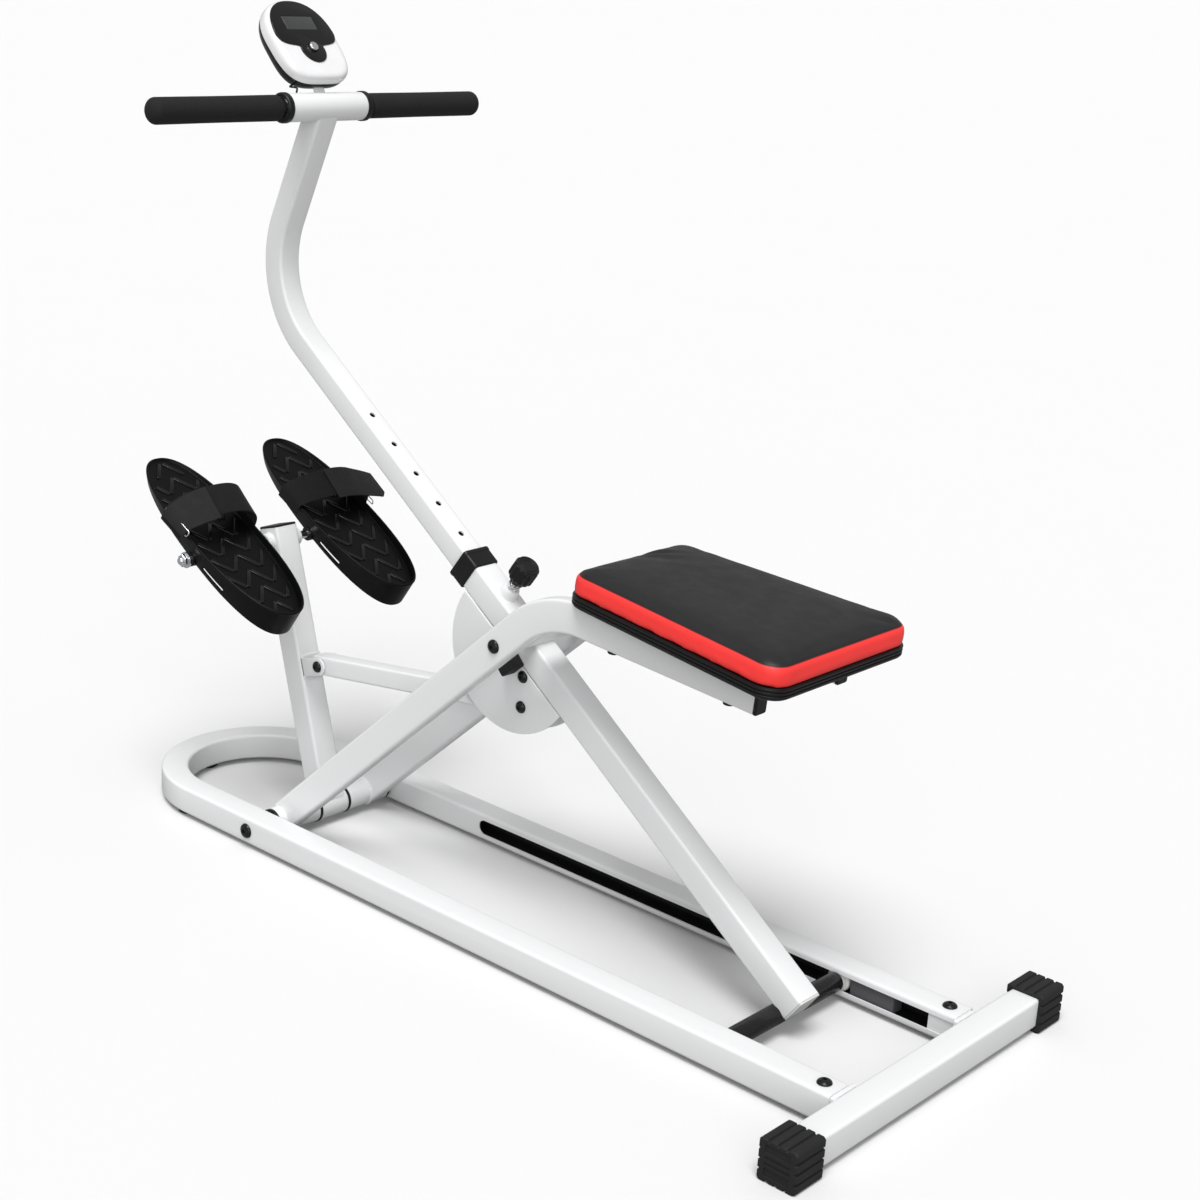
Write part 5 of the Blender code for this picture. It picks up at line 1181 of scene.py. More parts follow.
class RIDING_OT_mast(bpy.types.Operator):
    """Mast tube with pivot pipe and pin boss, gussets, collar and lower plug"""

    bl_idname = "riding.mast"
    bl_label = "Mast"

    def execute(self, context):
        size = context.scene.riding_frame
        start, end = MAST_ENDS
        body = square_tube(MAST, start, end)
        boss_at = place_at(on_mast(PIN_T, size.tube / 2), -MAST_ANGLE)
        roller_hole = bore(ROLLER_AXLE, ROLLER_BORE, segments=40)
        holes = [roller_hole, rod(boss_at, HOUSING_BORE, -0.02, 0.003)]
        put("mast_square_tube", [body], PAINT, "mast", ["mast_tube"], holes, hollow=True)
        pivot_pipe = pipe(about_y(PIVOT), 0.0078, 0.0095, -0.0225, 0.0225, 0.0004)
        boss = [(HOUSING_BORE, 0.013), (0.0105, 0.013), (0.0125, 0.008), (0.0140, 0.0006), (0.0146, -0.0008)]
        boss = turned(boss_at, [*boss, (HOUSING_BORE, -0.0008)], 0.0008, closed=True)
        put("pivot_pipe_and_boss", [pivot_pipe, boss], PAINT, "mast")
        bearing = [(0.0092, 0.0262), (0.0135, 0.0254), (0.0135, 0.0228), (0.0075, 0.0228), (0.0075, 0.0128)]
        bearing += [(PIVOT_BORE, 0.0128), (PIVOT_BORE, 0.0262)]
        half_round = arc(-0.0091, -size.tube / 2 - GAP, 0.110, 180, 360, 72)
        for side, sign in SIDES:
            ring = side_piece(PIVOT, sign, bearing, 0.0004, closed=True)
            put("pivot_bearing_" + side, [ring], PLASTIC, "mast", ["pivot_bush_" + side])
            y = sign * GUSSET_Y
            disc = plate(place_at(on_mast(0, 0, y), -MAST_ANGLE), half_round, 0.003, 0.0007)
            holes = [bore(on_mast(*bolt, y), BOLT_BORE, 0.003) for bolt in (UPPER_BOLT, LINK_BOLT)]
            put("half_round_gusset_" + side, [disc], PAINT, "mast", ["gusset_" + side], holes)
        low, high = -0.1533, -0.1248
        profile = [(low, 0.004), (low, 0.0016), (low + 0.0014, 0.0), (low + 0.006, 0.0), (low + 0.0066, 0.0009)]
        profile += [(high - 0.0015, 0.0009), (high, 0.0022), (high, 0.004)]
        collar = block(MAST, profile, 0.0466, 0.0466, 0.0052, 0.0006)
        cup = block(MAST, ((start - GAP, 0), (high + 0.01, 0)), size.tube + 0.0006, size.tube + 0.0006, 0.0045)
        way = block(MAST, ((low - 0.01, 0), (start + 0.01, 0)), size.post + 0.0008, size.post + 0.0008, 0.0045)
        put("mast_top_collar", [collar], PLASTIC, "mast", ["mast_collar"], [cup, way])
        profile = np.add([(-0.006, 0.0022), (GAP, 0.0022), (GAP, 0), (0.0028, 0), (0.0028, 0.002)], (end, 0))
        plug = block(MAST, profile, size.tube - 0.0006, size.tube - 0.0006, 0.0042, 0.0005)
        put("mast_end_plug", [plug], "white nylon", "mast", ["mast_plug"], [roller_hole])
        return {"FINISHED"}


class RIDING_OT_mast_fittings(bpy.types.Operator):
    """Gusset bolts, rubber blocks, threaded pin housing, spring pin and fluted knob"""

    bl_idname = "riding.mast_fittings"
    bl_label = "Mast fittings"

    def execute(self, context):
        reach = GUSSET_Y + 0.0015 + GAP
        for name, bolt in (("upper_bolt", UPPER_BOLT), ("link_bolt", LINK_BOLT)):
            put_bolt("gusset_" + name, on_mast(*bolt), reach, "mast", name)
        over_bolt = place_at(on_mast(*UPPER_BOLT), ARM_ANGLE)
        for side, sign in SIDES:
            middle = world(over_bolt, (0.002, sign * (reach + 0.0127), 0.0215))
            rest = brick(place_at(middle, ARM_ANGLE), (0.024, 0.025, 0.022), 0.0022)
            put("rest_block_" + side, [rest], RUBBER, "mast", ["rubber_block_" + side])
        at = place_at(on_mast(PIN_T, HALF_TUBE), -MAST_ANGLE)
        nut = pipe(at, PIN_BORE, 0.0080, 0.0137, 0.0195, 0.0003, wave=hexagon)
        thread = np.arange(0.0197, 0.0258, 0.00045)
        crests = np.stack([np.where(np.arange(len(thread)) % 2, 0.0056, 0.0061), thread], -1)[::-1]
        barrel = [(PIN_BORE, 0.026), (0.0058, 0.026), *crests, (0.0060, 0.0195), (0.0060, -0.001), (PIN_BORE, -0.001)]
        housing = [nut, turned(at, barrel, 0.0, closed=True)]
        put("threaded_pin_housing", housing, PLATED, "mast", ["pin_housing"], sharp=50)
        pin = [(0, 0.0262), (0.0040, 0.0262), (0.0040, -0.0012), (0.0036, -0.0020), (0, -0.0021)]
        put("spring_pin", [turned(at, pin, 0.0004)], PLATED, "pin", ["lock_pin"])
        low, high = 0.0263, 0.059
        profile = [(0, low), (0.0120, low), (0.0124, low + 0.006), (0.0170, low + 0.0072), (0.0179, low + 0.010)]
        profile += [(0.0179, high - 0.0045), (0.0166, high - 0.0016), (0, high - 0.0016)]
        knob = turned(at, profile, 0.0012, segments=192, wave=fluted)
        disc = [(0, -0.004), (0.0153, -0.004), (0.0158, -0.0012), (0.0150, 0), (0.0132, 0), (0.0129, -0.0008)]
        disc += [(0.0112, -0.0008), (0.0109, 0), (0.0088, 0), (0.0085, -0.0008), (0, -0.0006)]
        disc = turned(raised(at, high), disc, 0.0005, segments=96)
        put("fluted_pull_knob", [knob, disc], PLASTIC, "knob", ["pin_knob"])
        return {"FINISHED"}


def hexagon(angle):
    """A hexagon's radius over its round one: half flat width over the cosine from the nearest flat's middle."""
    return 1.0 / np.cos((angle + math.pi / 6) % (math.pi / 3) - math.pi / 6) * 0.98


def fluted(angle):
    """Twelve scooped flutes: one less a raised power of the cosine of twelve turns."""
    return 1.0 - 0.085 * (0.5 + 0.5 * np.cos(12 * angle)) ** 1.6


class RIDING_OT_rollers(bpy.types.Operator):
    """Rear axle under the mast and its nylon rollers"""

    bl_idname = "riding.rollers"
    bl_label = "Rollers"

    def execute(self, context):
        half = [(0, 0.1465), (0.0100, 0.1465), (0.0100, 0.1430), (0.0080, 0.1430), (0.0080, 0.1110), (0.013, 0.1110)]
        put("roller_axle", [cross_bar(ROLLER_AXLE, half, 0.0006)], BLACK_STEEL, "mast", ["rear_axle"])
        profile = [(0.0145, 0.142), (0.0165, 0.140), (0.0165, 0.1185), (0.0145, 0.1165), (0.0096, 0.1165)]
        profile += [(0.0096, 0.1115), (0.0084, 0.1115), (0.0084, 0.142)]
        for side, sign in SIDES:
            wheel = side_piece(ROLLER_AXLE, sign, profile, 0.0006, closed=True)
            put("rail_roller_" + side, [wheel], "white nylon", "roller_" + side, ["roller_" + side])
        return {"FINISHED"}


class RIDING_OT_bar_post(bpy.types.Operator):
    """Sliding handlebar post with its row of holes, bend and handlebar sleeve"""

    bl_idname = "riding.bar_post"
    bl_label = "Handlebar post"

    def execute(self, context):
        size = context.scene.riding_frame
        # Straight up the mast, a bend about the centre, then the tangent that meets the handlebar.
        start_t, bend_t, radius = -0.012, -0.5573, 0.140
        start, bend = ((on_mast(t) - AXLE)[[0, 2]] for t in (start_t, bend_t))
        centre = bend + radius * np.array([math.sin(MAST_ANGLE), math.cos(MAST_ANGLE)])
        to_bar = np.array(BAR) - centre
        reach = math.hypot(*to_bar)
        heading = math.pi - MAST_ANGLE
        aim = math.atan2(to_bar[1], to_bar[0]) - math.asin(radius / reach)
        legs = [(start_t - bend_t,), (radius, aim - heading), (math.sqrt(reach**2 - radius**2),)]
        post = tube(place_at(AXLE), size.post, size.post, size.fillet, size.wall, walk(start, heading, legs, 2.0))
        holes = [bore(HANDLEBAR, 0.0185, segments=48)]
        for number in range(7):
            at = place_at(on_mast(PIN_T - number * PIN_PITCH, size.post / 2), -MAST_ANGLE)
            holes.append(rod(at, PIN_BORE, -0.006, 0.006))
        put("handlebar_post_tube", [post], PAINT, "bar_post", ["bar_post"], holes, hollow=True)
        sleeve = pipe(about_y(HANDLEBAR), 0.0168, 0.019, -0.066, 0.066, 0.0005, segments=72)
        lead_hole = rod(place_at(HANDLEBAR + LEAD_HOLE), LEAD_BORE, -0.006, 0.006, 20)
        put("handlebar_sleeve", [sleeve], PAINT, "bar_post", holes=[lead_hole])
        profile = [(0.0172, 0.0757), (0.0185, 0.0755), (0.0203, 0.0735), (0.0203, 0.0663), (0.0164, 0.0663)]
        profile += [(0.0164, 0.054), (0.0129, 0.054), (0.0129, 0.0740)]
        for side, sign in SIDES:
            bush = side_piece(HANDLEBAR, sign, profile, 0.0008, closed=True, segments=72)
            put("sleeve_bush_" + side, [bush], PLASTIC, "bar_post", ["bar_bush_" + side])
        return {"FINISHED"}


class RIDING_OT_handlebar(bpy.types.Operator):
    """Plated handlebar and its closed-end foam grips"""

    bl_idname = "riding.handlebar"
    bl_label = "Handlebar"

    def execute(self, context):
        radius = context.scene.riding_frame.grip
        bar = turned(about_y(HANDLEBAR), [(0, 0.276), (0.0125, 0.276), (0.0125, -0.276), (0, -0.276)], 0.001)
        put("handlebar_tube", [bar], PLATED, "handlebar", ["handlebar"])
        # A grip's wall dips by a cosine along its length, and its end is a quarter of an ellipse.
        near, far = 0.084, 0.2785
        stations = np.linspace(near, far, 40)
        wall = radius - 0.00012 * (1 - np.cos((stations - near) * 2 * math.pi / (far - near)))
        dome = np.radians(np.linspace(90, 8, 12))
        end = np.stack([radius * np.cos(dome), far + 0.0115 * np.sin(dome)], -1)
        profile = [*end, *np.stack([wall, stations], -1)[::-1], (radius - 0.0012, 0.0806), (radius - 0.0028, 0.080)]
        profile += [(0.0128, 0.080), (0.0128, 0.2765), (0, 0.2765)]
        for side, sign in SIDES:
            grip = side_piece(HANDLEBAR, sign, profile, 0.0004, segments=64)
            piece = put("foam_grip_" + side, [grip], "foam grip", "handlebar", ["grip_" + side])
        return {"FINISHED"}


class RIDING_OT_pedal_post(bpy.types.Operator):
    """Leaning pedal post with sleeve, bosses and link bracket, its cap, pedal axle and bolt"""

    bl_idname = "riding.pedal_post"
    bl_label = "Pedal post"

    def execute(self, context):
        size = context.scene.riding_frame
        upright = (AXLE, np.array([POST[1][2], POST[1][1], -POST[1][0]]))
        body = square_tube(upright, 0.008, 0.416)
        holes = [bore(AXLE, SLEEVE_BORE, segments=48), bore(PEDAL_AXLE, PEDAL_BORE, 0.04)]
        put("pedal_post_tube", [body], PAINT, "pedal_post", ["pedal_post"], holes)
        sleeve = pipe(about_y(AXLE), *SLEEVE_RADII, -0.025, 0.025, 0.0005)
        boss = [(PEDAL_BORE, 0.019), (0.0142, 0.019), (0.0134, 0.0215), (0.013, 0.031), (PEDAL_BORE, 0.031)]
        bosses = [side_piece(PEDAL_AXLE, sign, boss, 0.0005, closed=True) for _, sign in SIDES]
        # The link's pivot, measured along the leaning post and square to it.
        x, z = LINK_PIVOT
        rise = z * math.cos(POST_LEAN) - x * math.sin(POST_LEAN)
        out = x * math.cos(POST_LEAN) + z * math.sin(POST_LEAN)
        face, ear = size.tube / 2, 0.0135
        base_at = place_at(world(POST, (face + 0.0013, 0, rise)), POST_LEAN)
        base = brick(base_at, (0.0036, 0.0366, 2 * ear + 0.006), 0.0008)
        root = face + 0.0005
        outline = np.concatenate([arc(out, rise, ear, -90, 90, 28), [(root, rise + ear), (root, rise - ear)]])
        ears = [plate((from_axle(0, 0, sign * 0.0168), POST[1]), outline, 0.003) for _, sign in SIDES]
        pivot = from_axle(*LINK_PIVOT)
        bracket = [sleeve, *bosses, base, *ears]
        put("post_sleeve_and_bracket", bracket, PAINT, "pedal_post", holes=[bore(pivot, BOLT_BORE)])
        profile = [(0.4163, 0.0008), (0.4163, 0.0), (0.4185, 0.0), (0.4193, 0.0016), (0.4195, 0.006)]
        cap = block(upright, profile, size.tube - 0.0006, size.tube - 0.0006, 0.0042, 0.0006)
        put("pedal_post_cap", [cap], PLASTIC, "pedal_post", ["post_cap"])
        outer = PEDAL_Y + context.scene.riding_pedals.half_width
        dome = np.radians(np.linspace(90, 0, 9))
        tip = np.stack([0.0062 * np.cos(dome), 0.0118 + 0.0052 * np.sin(dome)], -1)
        washer = [(0.0078, 0.0115), (0.0078, 0.005), (0.0115, 0.005), (0.0115, 0.003), (0.006, 0.003)]
        bar = cross_bar(PEDAL_AXLE, np.add([*tip, *washer], (0, outer)), 0.0003)
        nut = np.add([(0, 0.0113), (0.0078, 0.0113), (0.0084, 0.0104), (0.0084, 0.0050), (0, 0.0050)], (0, outer))
        nuts = [side_piece(PEDAL_AXLE, sign, nut, 0.0003, wave=hexagon) for _, sign in SIDES]
        put("pedal_axle_and_nuts", [bar, *nuts], PLATED, "pedal_post", ["pedal_axle"])
        put_bolt("link_bracket_bolt", pivot, 0.0186, "pedal_post", "bracket_bolt")
        return {"FINISHED"}


class RIDING_OT_push_link(bpy.types.Operator):
    """Hollow link from the pedal post to the gussets"""

    bl_idname = "riding.push_link"
    bl_label = "Push link"

    def execute(self, context):
        front, rear = from_axle(*LINK_PIVOT), on_mast(*LINK_BOLT)
        span = rear - front
        reach = float(np.linalg.norm(span))
        at = place_at(front, math.atan2(span[2], span[0]))
        bar = straight_tube(at, -0.013, reach + 0.013, 0.026, 0.028, 0.003, 0.002)
        holes = [bore(front, BOLT_BORE), bore(world(at, (reach - 0.00176, 0, -0.00258)), 0.0085)]
        put("push_link_tube", [bar], PAINT, "link", ["push_link"], holes, hollow=True)
        return {"FINISHED"}


def pedal_ring(size, inset, toe, heel):
    """The pedal's oval at a depth growing in a straight line from toe to heel."""
    flat = oval(size.half_length - inset, size.half_width - inset, (PEDAL_POWER, PEDAL_POWER))
    share = (flat[:, :1] + size.half_length) / (2 * size.half_length)
    return np.concatenate([flat, -(toe + (heel - toe) * share)], 1)


def tread_bars(size, inset, height):
    """Chevron treads: zigzag rows whose legs are cut off where they leave the deck's oval, each leg a
    low flat-topped bar standing on the sloping deck."""
    shapes = []
    pitch, across = 0.033, 0.0235
    a, b = size.half_length - inset, size.half_width - inset
    t = np.linspace(0, 1, 41)
    for row in np.arange(-6, 6):
        for leg in np.arange(-2, 2):
            u = (row + (1 - t if leg % 2 else t)) * pitch
            v = (leg + t) * across
            inside = (np.abs(u / a) ** PEDAL_POWER + np.abs(v / b) ** PEDAL_POWER < 1) & (t > 0.04) & (t < 0.96)
            if inside.sum() < 10:
                continue
            ends = np.flatnonzero(inside)[[0, -1]]
            shapes.append(bar_on_deck(size, u[ends], v[ends], height))
    return shapes


def deck_height(size, u):
    """Depth of the deck below the rim at a distance along the pedal."""
    return -(0.003 + 0.011 * (u + size.half_length) / (2 * size.half_length))


def bar_on_deck(size, u, v, height):
    """A low flat-topped bar from one point of the deck to another: half a superellipse carried along, the roots
    of cosine and sine with their signs, smaller at both ends."""
    start, end = np.array([u[0], v[0]]), np.array([u[1], v[1]])
    ahead = (end - start) / np.linalg.norm(end - start)
    side = np.array([-ahead[1], ahead[0]])
    shares = np.array([0, 0.012, 0.04, 0.96, 0.988, 1.0])
    grow = np.array([0.25, 0.8, 1, 1, 0.8, 0.25])
    angle = np.radians(np.linspace(-21, 201, 14))
    c, s = (wave * np.abs(wave) ** -0.5 for wave in (np.cos(angle), np.sin(angle)))
    middle = start + (end - start) * shares[:, None]
    flat = middle[:, None] + side * (c[None, :, None] * 0.0030 * grow[:, None, None])
    z = deck_height(size, flat[..., 0]) + height * s * grow[:, None]
    return skin(np.concatenate([flat, z[..., None]], -1), capped=True)


class RIDING_OT_pedals(bpy.types.Operator):
    """Moulded pedal dishes with chevron treads, an axle tunnel and side slits"""

    bl_idname = "riding.pedals"
    bl_label = "Pedals"

    def execute(self, context):
        size = context.scene.riding_pedals
        for side, sign in SIDES:
            at = on_pedal(sign)
            rings = [pedal_ring(size, *ring) for ring in (
                (0.030, 0.007, 0.018), (0.0045, 0.007, 0.018), (0.0074, 0.0095, 0.0435), (0.005, 0.010, 0.044),
                (0.0008, 0.004, 0.004), (0.0, 0.0015, 0.0015), (0.0015, 0, 0), (0.0035, 0, 0),
                (0.0055, 0.003, 0.014), (0.030, 0.003, 0.014),
            )]
            dish = skin(world(at, soften(rings, 0.0011)), capped=True)
            slit_at = place_at(world(at, (0.058, 0, -0.0235)), -PEDAL_TILT - math.radians(5))
            slit = brick(slit_at, (0.046, 0.14, 0.0048), 0.0016)
            put("pedal_dish_" + side, [dish], "pedal plastic", "pedal_" + side, ["pedal_" + side], [slit])
            treads = [(world(at, points), faces) for points, faces in tread_bars(size, 0.0105, 0.0017)]
            middle = np.array([PEDAL_AXLE[0], sign * PEDAL_Y, PEDAL_AXLE[2]])
            tunnel = turned(about_y(middle), [(0, -0.0575), (0.0105, -0.0575), (0.0105, 0.0575), (0, 0.0575)], 0.0006)
            # The treads and tunnel take the lighter copy of the dish's plastic, a painted highlight.
            put("pedal_treads_" + side, [*treads, tunnel], "pedal tread plastic", "pedal_" + side)
        return {"FINISHED"}


def strap_band(at, line, width, thickness, u0, swell=0.0, clip=0.0):
    """A flat strap carried along a line of (v, w) points: a rounded rectangle's outline in each cross-section,
    askew by a share of v, dipping towards the heel where it stands clear of the rim, rippled by the sine of the
    distance along, with one corner of its start clipped. Distance along and across is kept for the weave."""
    step = np.gradient(line, axis=0)
    out = np.stack([-step[:, 1], step[:, 0]], -1) / np.linalg.norm(step, axis=1)[:, None]
    across, lift = section(width, thickness, thickness * 0.48, 4).T
    run = np.concatenate([[0], np.cumsum(np.linalg.norm(np.diff(line, axis=0), axis=1))])
    ripple = swell * np.sin(run * 90.0)[:, None] * np.cos(across / width * 5.0)
    across = np.minimum(across, width / 2 - np.maximum(clip - run[:, None], 0))
    v = line[:, :1] + out[:, :1] * (lift + ripple)
    w = line[:, 1:] + out[:, 1:] * (lift + ripple) - 0.3 * across * np.clip(line[:, 1:] / 0.03, 0, 1)
    rings = np.stack([u0 + across + STRAP_SKEW * v, v, w], -1)
    spans = np.stack([run[:, None] + 0 * v, across + 0 * v, 0 * v], -1)
    return skin(world(at, rings), capped=True), spans.reshape(-1, 3)


def arch_line(half, rise, low, start=0.0, end=180.0, count=70):
    """A flat-topped arch: half times cosine across, rise times the sine to the power 0.8 up, and down to low
    at an end that reaches the rim."""
    a = np.radians(np.linspace(start, end, count))
    top = np.stack([half * np.cos(a), rise * np.sin(a) ** 0.8], -1)
    legs = np.linspace(low, 0, 6)[:-1, None]
    first = np.concatenate([np.full_like(legs, half), legs], 1) if start == 0 else np.empty((0, 2))
    last = np.concatenate([np.full_like(legs, -half), legs[::-1]], 1) if end == 180 else np.empty((0, 2))
    return np.concatenate([first, top, last])


def slanted(line, half, slant):
    """Raises an arch by slant of its height at its outer side, and lowers it as much at its inner side."""
    high = line[:, 1:] * (1 + slant * line[:, :1] / half)
    return np.concatenate([line[:, :1], np.where(line[:, 1:] > 0, high, line[:, 1:])], 1)


def wire_loop(at, sign, half):
    """A rounded rectangle of wire beside the rim: a circle's cosine along the outline's normals, and its sine
    square to them, leaning out towards its lower edge."""
    outline = soften([(-0.027, -0.004), (0.029, -0.004), (0.029, 0.004), (-0.027, 0.004)], 0.003, 4, closed=True)
    wire, angle = 0.0009, circle(10)
    loop = outline[:, None] + normals(outline)[:, None] * (wire * np.cos(angle))[None, :, None]
    u = loop[..., 0] - 0.0295 + STRAP_SKEW * sign * half
    v = sign * (half - 0.0004 - 0.25 * loop[..., 1]) + wire * np.sin(angle)
    return skin(world(at, np.stack([u, v, loop[..., 1] + 0.006], -1)), joined=True)


def keep_span(obj, spans):
    """Stores the strap's length and width coordinates on its points."""
    if len(spans) != len(obj.data.vertices):
        raise RuntimeError(f"{obj.name} has {len(obj.data.vertices)} points for {len(spans)} spans")
    obj.data.attributes.new("strap_span", "FLOAT_VECTOR", "POINT").data.foreach_set("vector", spans.ravel())


class RIDING_OT_straps(bpy.types.Operator):
    """Webbing straps with their doubled-back hook ends and wire loops"""

    bl_idname = "riding.straps"
    bl_label = "Straps"

    def execute(self, context):
        size = context.scene.riding_pedals
        for side, sign in SIDES:
            at, body = on_pedal(sign), "pedal_" + side
            half = size.half_width + 0.0022
            lower, slant = (0.012, -0.30) if side == "left" else (0.022, 0.34)
            rise = size.strap_rise - lower
            line = slanted(arch_line(half, rise, -0.012), half, slant) * (sign, 1)
            strap, spans = strap_band(at, line, size.strap_width, 0.0022, -0.036, 0.0006)
            piece = put("instep_strap_" + side, [strap], "strap webbing", body, ["strap_" + side])
            keep_span(piece, spans)
            # The doubled end lies over the arch: to the rim on the left, out past the rim on the right.
            over = (half + 0.0028, rise + 0.0027)
            if side == "left":
                clip = 0.0
                line = slanted(arch_line(*over, -0.004, 0, 80)[2:], half, slant)
                line[-8:, 1] += np.linspace(0, 0.0014, 8)
            else:
                clip = 0.010
                arch = slanted(arch_line(*over, 0, 44, 92)[::-1], half, slant)
                out = np.linspace(0, 1, 40)[:, None] * (0.044, -0.012)
                line = np.concatenate([arch, arch[-1] + (0.002, -0.0004) + out])[::-1]
            flap, spans = strap_band(at, line * (sign, 1), size.strap_width + 0.004, 0.0018, -0.030, 0.0005, clip)
            piece = put("strap_hook_end_" + side, [flap], "strap hook patch", body)
            keep_span(piece, spans)
            put("strap_wire_loop_" + side, [wire_loop(at, sign, half)], PLATED, body)
        return {"FINISHED"}


def console_outline(inset, count=96):
    """The console's face: a superellipse, rounder above than below."""
    return oval(0.0565 - inset, 0.066 - inset, (2.3, 3.6), count)


def console_shell(levels, soft):
    """A shell of the console: its outline at each (height, inset, lift), the lift raising a ring's lower end."""
    rings = []
    for z, inset, *lift in levels:
        flat = console_outline(inset)
        low = np.clip((0.02 - flat[:, 1]) / 0.086, 0, 1) ** 1.5
        rings.append(np.column_stack([flat, z + sum(lift) * low]))
    return skin(world(CONSOLE, soften(rings, soft)), capped=True)


class RIDING_OT_console(bpy.types.Operator):
    """Console: back and front shells, fascia, display window, button and bracket"""

    bl_idname = "riding.console"
    bl_label = "Console"

    def execute(self, context):
        back = [(-0.026, 0.030), (-0.026, 0.015), (-0.0250, 0.0085), (-0.0215, 0.0040), (-0.0150, 0.0012)]
        back += [(-0.0110, 0.0006, 0.004), (-0.0110, 0.02, 0.004)]
        slot = brick(on_console(0, -0.0503, TAB_LEVEL), (0.0188, 0.042, 0.004), 0.0005)
        ahead = np.array(LEAD_START) / np.linalg.norm(LEAD_START)
        side = np.cross(ahead, (0, 0, 1.0))
        side /= np.linalg.norm(side)
        pocket_at = (world(CONSOLE, LEAD_EXIT), np.array([side, np.cross(ahead, side), ahead]))
        holes = [slot, rod(pocket_at, LEAD_BORE, -0.008, 0.008, 20)]
        put("console_back_shell", [console_shell(back, 0.003)], "black console gloss", "bar_post", ["console_back"],
            holes, slot="black_plastic")
        front = [(-0.0107, 0.02, 0.004), (-0.0107, 0.0004, 0.004), (-0.0102, 0.0, 0.004), (-0.0055, 0.0, 0.002)]
        front += [(0.0010, 0.0004), (0.0050, 0.0022), (0.0069, 0.0052), (0.0075, 0.0090), (0.0075, 0.03)]
        button = on_console(0, -0.017, 0)
        well = rod(button, 0.0078, 0.0035, 0.02, 48)
        put("console_front_shell", [console_shell(front, 0.0025)], "white console shell", "bar_post",
            ["console_front"], [well])
        # The fascia: the shell's own curve above, and a lobe round the button below.
        top = console_outline(0.0050, 128)
        top = top[top[:, 1] > 0.002]
        left = np.array([(-0.0485, -0.004), (-0.043, -0.0085), (-0.034, -0.0110), (-0.0265, -0.0120)])
        lobe = arc(0, -0.0200, 0.0205, 162, 378, 40)
        face = soften(np.concatenate([top, left, lobe, left[::-1] * (-1, 1)]), 0.004, 4, closed=True)
        standing = np.array([CONSOLE[1][0], CONSOLE[1][2], CONSOLE[1][1]])
        flat = plate((raised(CONSOLE, 0.0083)[0], standing), face, 0.0024, 0.0009)
        holes = [brick(on_console(0, 0.024, 0.0113), (0.0540, 0.0228, 0.0060), 0.0010)]
        holes.append(rod(button, 0.0079, 0.002, 0.02, 48))
        put("console_black_fascia", [flat], "black console gloss", "bar_post", ["console_fascia"], holes)
        glass = brick(on_console(0, 0.024, 0.0086), (0.0530, 0.0220, 0.0014), 0.0004)
        put("display_window", [glass], "console display", "bar_post", ["console_screen"])
        rim = [(0.0072, 0.0088), (0.0078, 0.0098), (0.0086, 0.0100), (0.0090, 0.0094), (0.0090, 0.0085)]
        rim = turned(button, [*rim, (0.0072, 0.0060)], 0.0003, closed=True)
        put("button_rim", [rim], "black console gloss", "bar_post")
        profile = [(0, 0.0150), (0.0030, 0.0149), (0.0055, 0.0144), (0.0066, 0.0134), (0.0068, 0.0120)]
        cap = turned(button, [*profile, (0.0068, 0.006), (0, 0.006)], 0.0008)
        put("mode_button_cap", [cap], PLATED, "mode_button", ["mode_button"])
        # The tab: a flat strip from the handlebar sleeve into the back shell.
        entry, inside = (on_console(0, y, TAB_LEVEL)[0] for y in (-0.0640, -0.030))
        foot = HANDLEBAR + (entry - HANDLEBAR) / np.linalg.norm(entry - HANDLEBAR) * 0.0192
        line = soften(np.array([foot, entry, inside])[:, [0, 2]], 0.006, 6)
        step = np.gradient(line, axis=0)
        tab = sweep(section(0.018, 0.003, 0.0008), line, np.arctan2(step[:, 1], step[:, 0]))
        put("console_tab", [skin(tab, capped=True)], PAINT, "bar_post", ["console_bracket"])
        return {"FINISHED"}


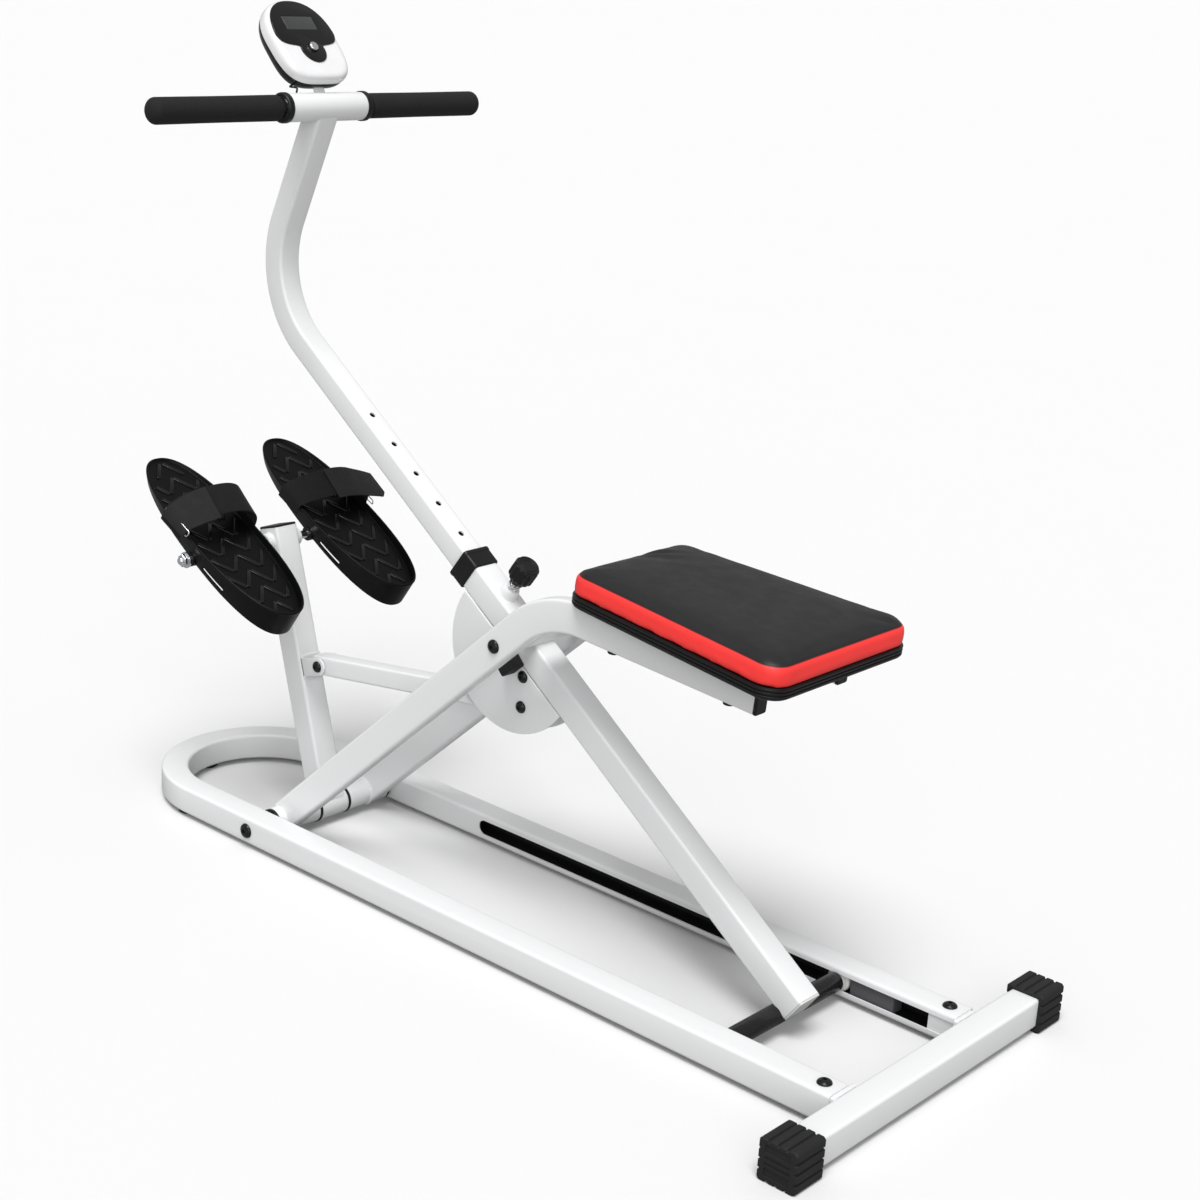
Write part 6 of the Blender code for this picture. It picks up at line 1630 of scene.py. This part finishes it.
PIECES = (
    RIDING_OT_stage, RIDING_OT_finishes, RIDING_OT_console_lead, RIDING_OT_base, RIDING_OT_feet, RIDING_OT_front_axle,
    RIDING_OT_seat_frame, RIDING_OT_seat_base, RIDING_OT_cushion, RIDING_OT_mast, RIDING_OT_mast_fittings,
    RIDING_OT_rollers, RIDING_OT_bar_post, RIDING_OT_handlebar, RIDING_OT_pedal_post, RIDING_OT_push_link,
    RIDING_OT_pedals, RIDING_OT_straps, RIDING_OT_console,
)
GROUPS = (
    ("riding_frame", FrameSizes), ("riding_seat", SeatSizes), ("riding_pedals", PedalSizes),
    ("riding_colours", Colours), ("riding_stage", StageSettings),
)


class RIDING_PT_pieces(bpy.types.Panel):
    """Lists the sizes, colours and pieces of the riding machine"""

    bl_idname = "RIDING_PT_pieces"
    bl_label = "Riding machine"
    bl_space_type = "VIEW_3D"
    bl_region_type = "UI"
    bl_category = "Riding machine"

    def draw(self, context):
        for name, group in GROUPS:
            box = self.layout.box()
            box.label(text=group.__doc__)
            for key in group.__annotations__:
                box.prop(getattr(context.scene, name), key)
        for piece in PIECES:
            self.layout.operator(piece.bl_idname)


def register():
    """Registers the settings, the operators and the panel."""
    for name, group in GROUPS:
        bpy.utils.register_class(group)
        setattr(bpy.types.Scene, name, PointerProperty(type=group))
    for cls in (*PIECES, RIDING_PT_pieces):
        bpy.utils.register_class(cls)


def unregister():
    """Takes away what register added."""
    for cls in reversed((*PIECES, RIDING_PT_pieces)):
        bpy.utils.unregister_class(cls)
    for name, group in reversed(GROUPS):
        delattr(bpy.types.Scene, name)
        bpy.utils.unregister_class(group)


def main():
    """Clears the startup scene and builds every piece."""
    for name in ("Cube", "Camera", "Light"):
        if name in bpy.data.objects:
            bpy.data.objects.remove(bpy.data.objects[name])
    register()
    for piece in PIECES:
        if getattr(bpy.ops.riding, piece.bl_idname.split(".")[1])() != {"FINISHED"}:
            raise RuntimeError(piece.bl_label + " wasn't made")


if __name__ == "__main__":
    main()
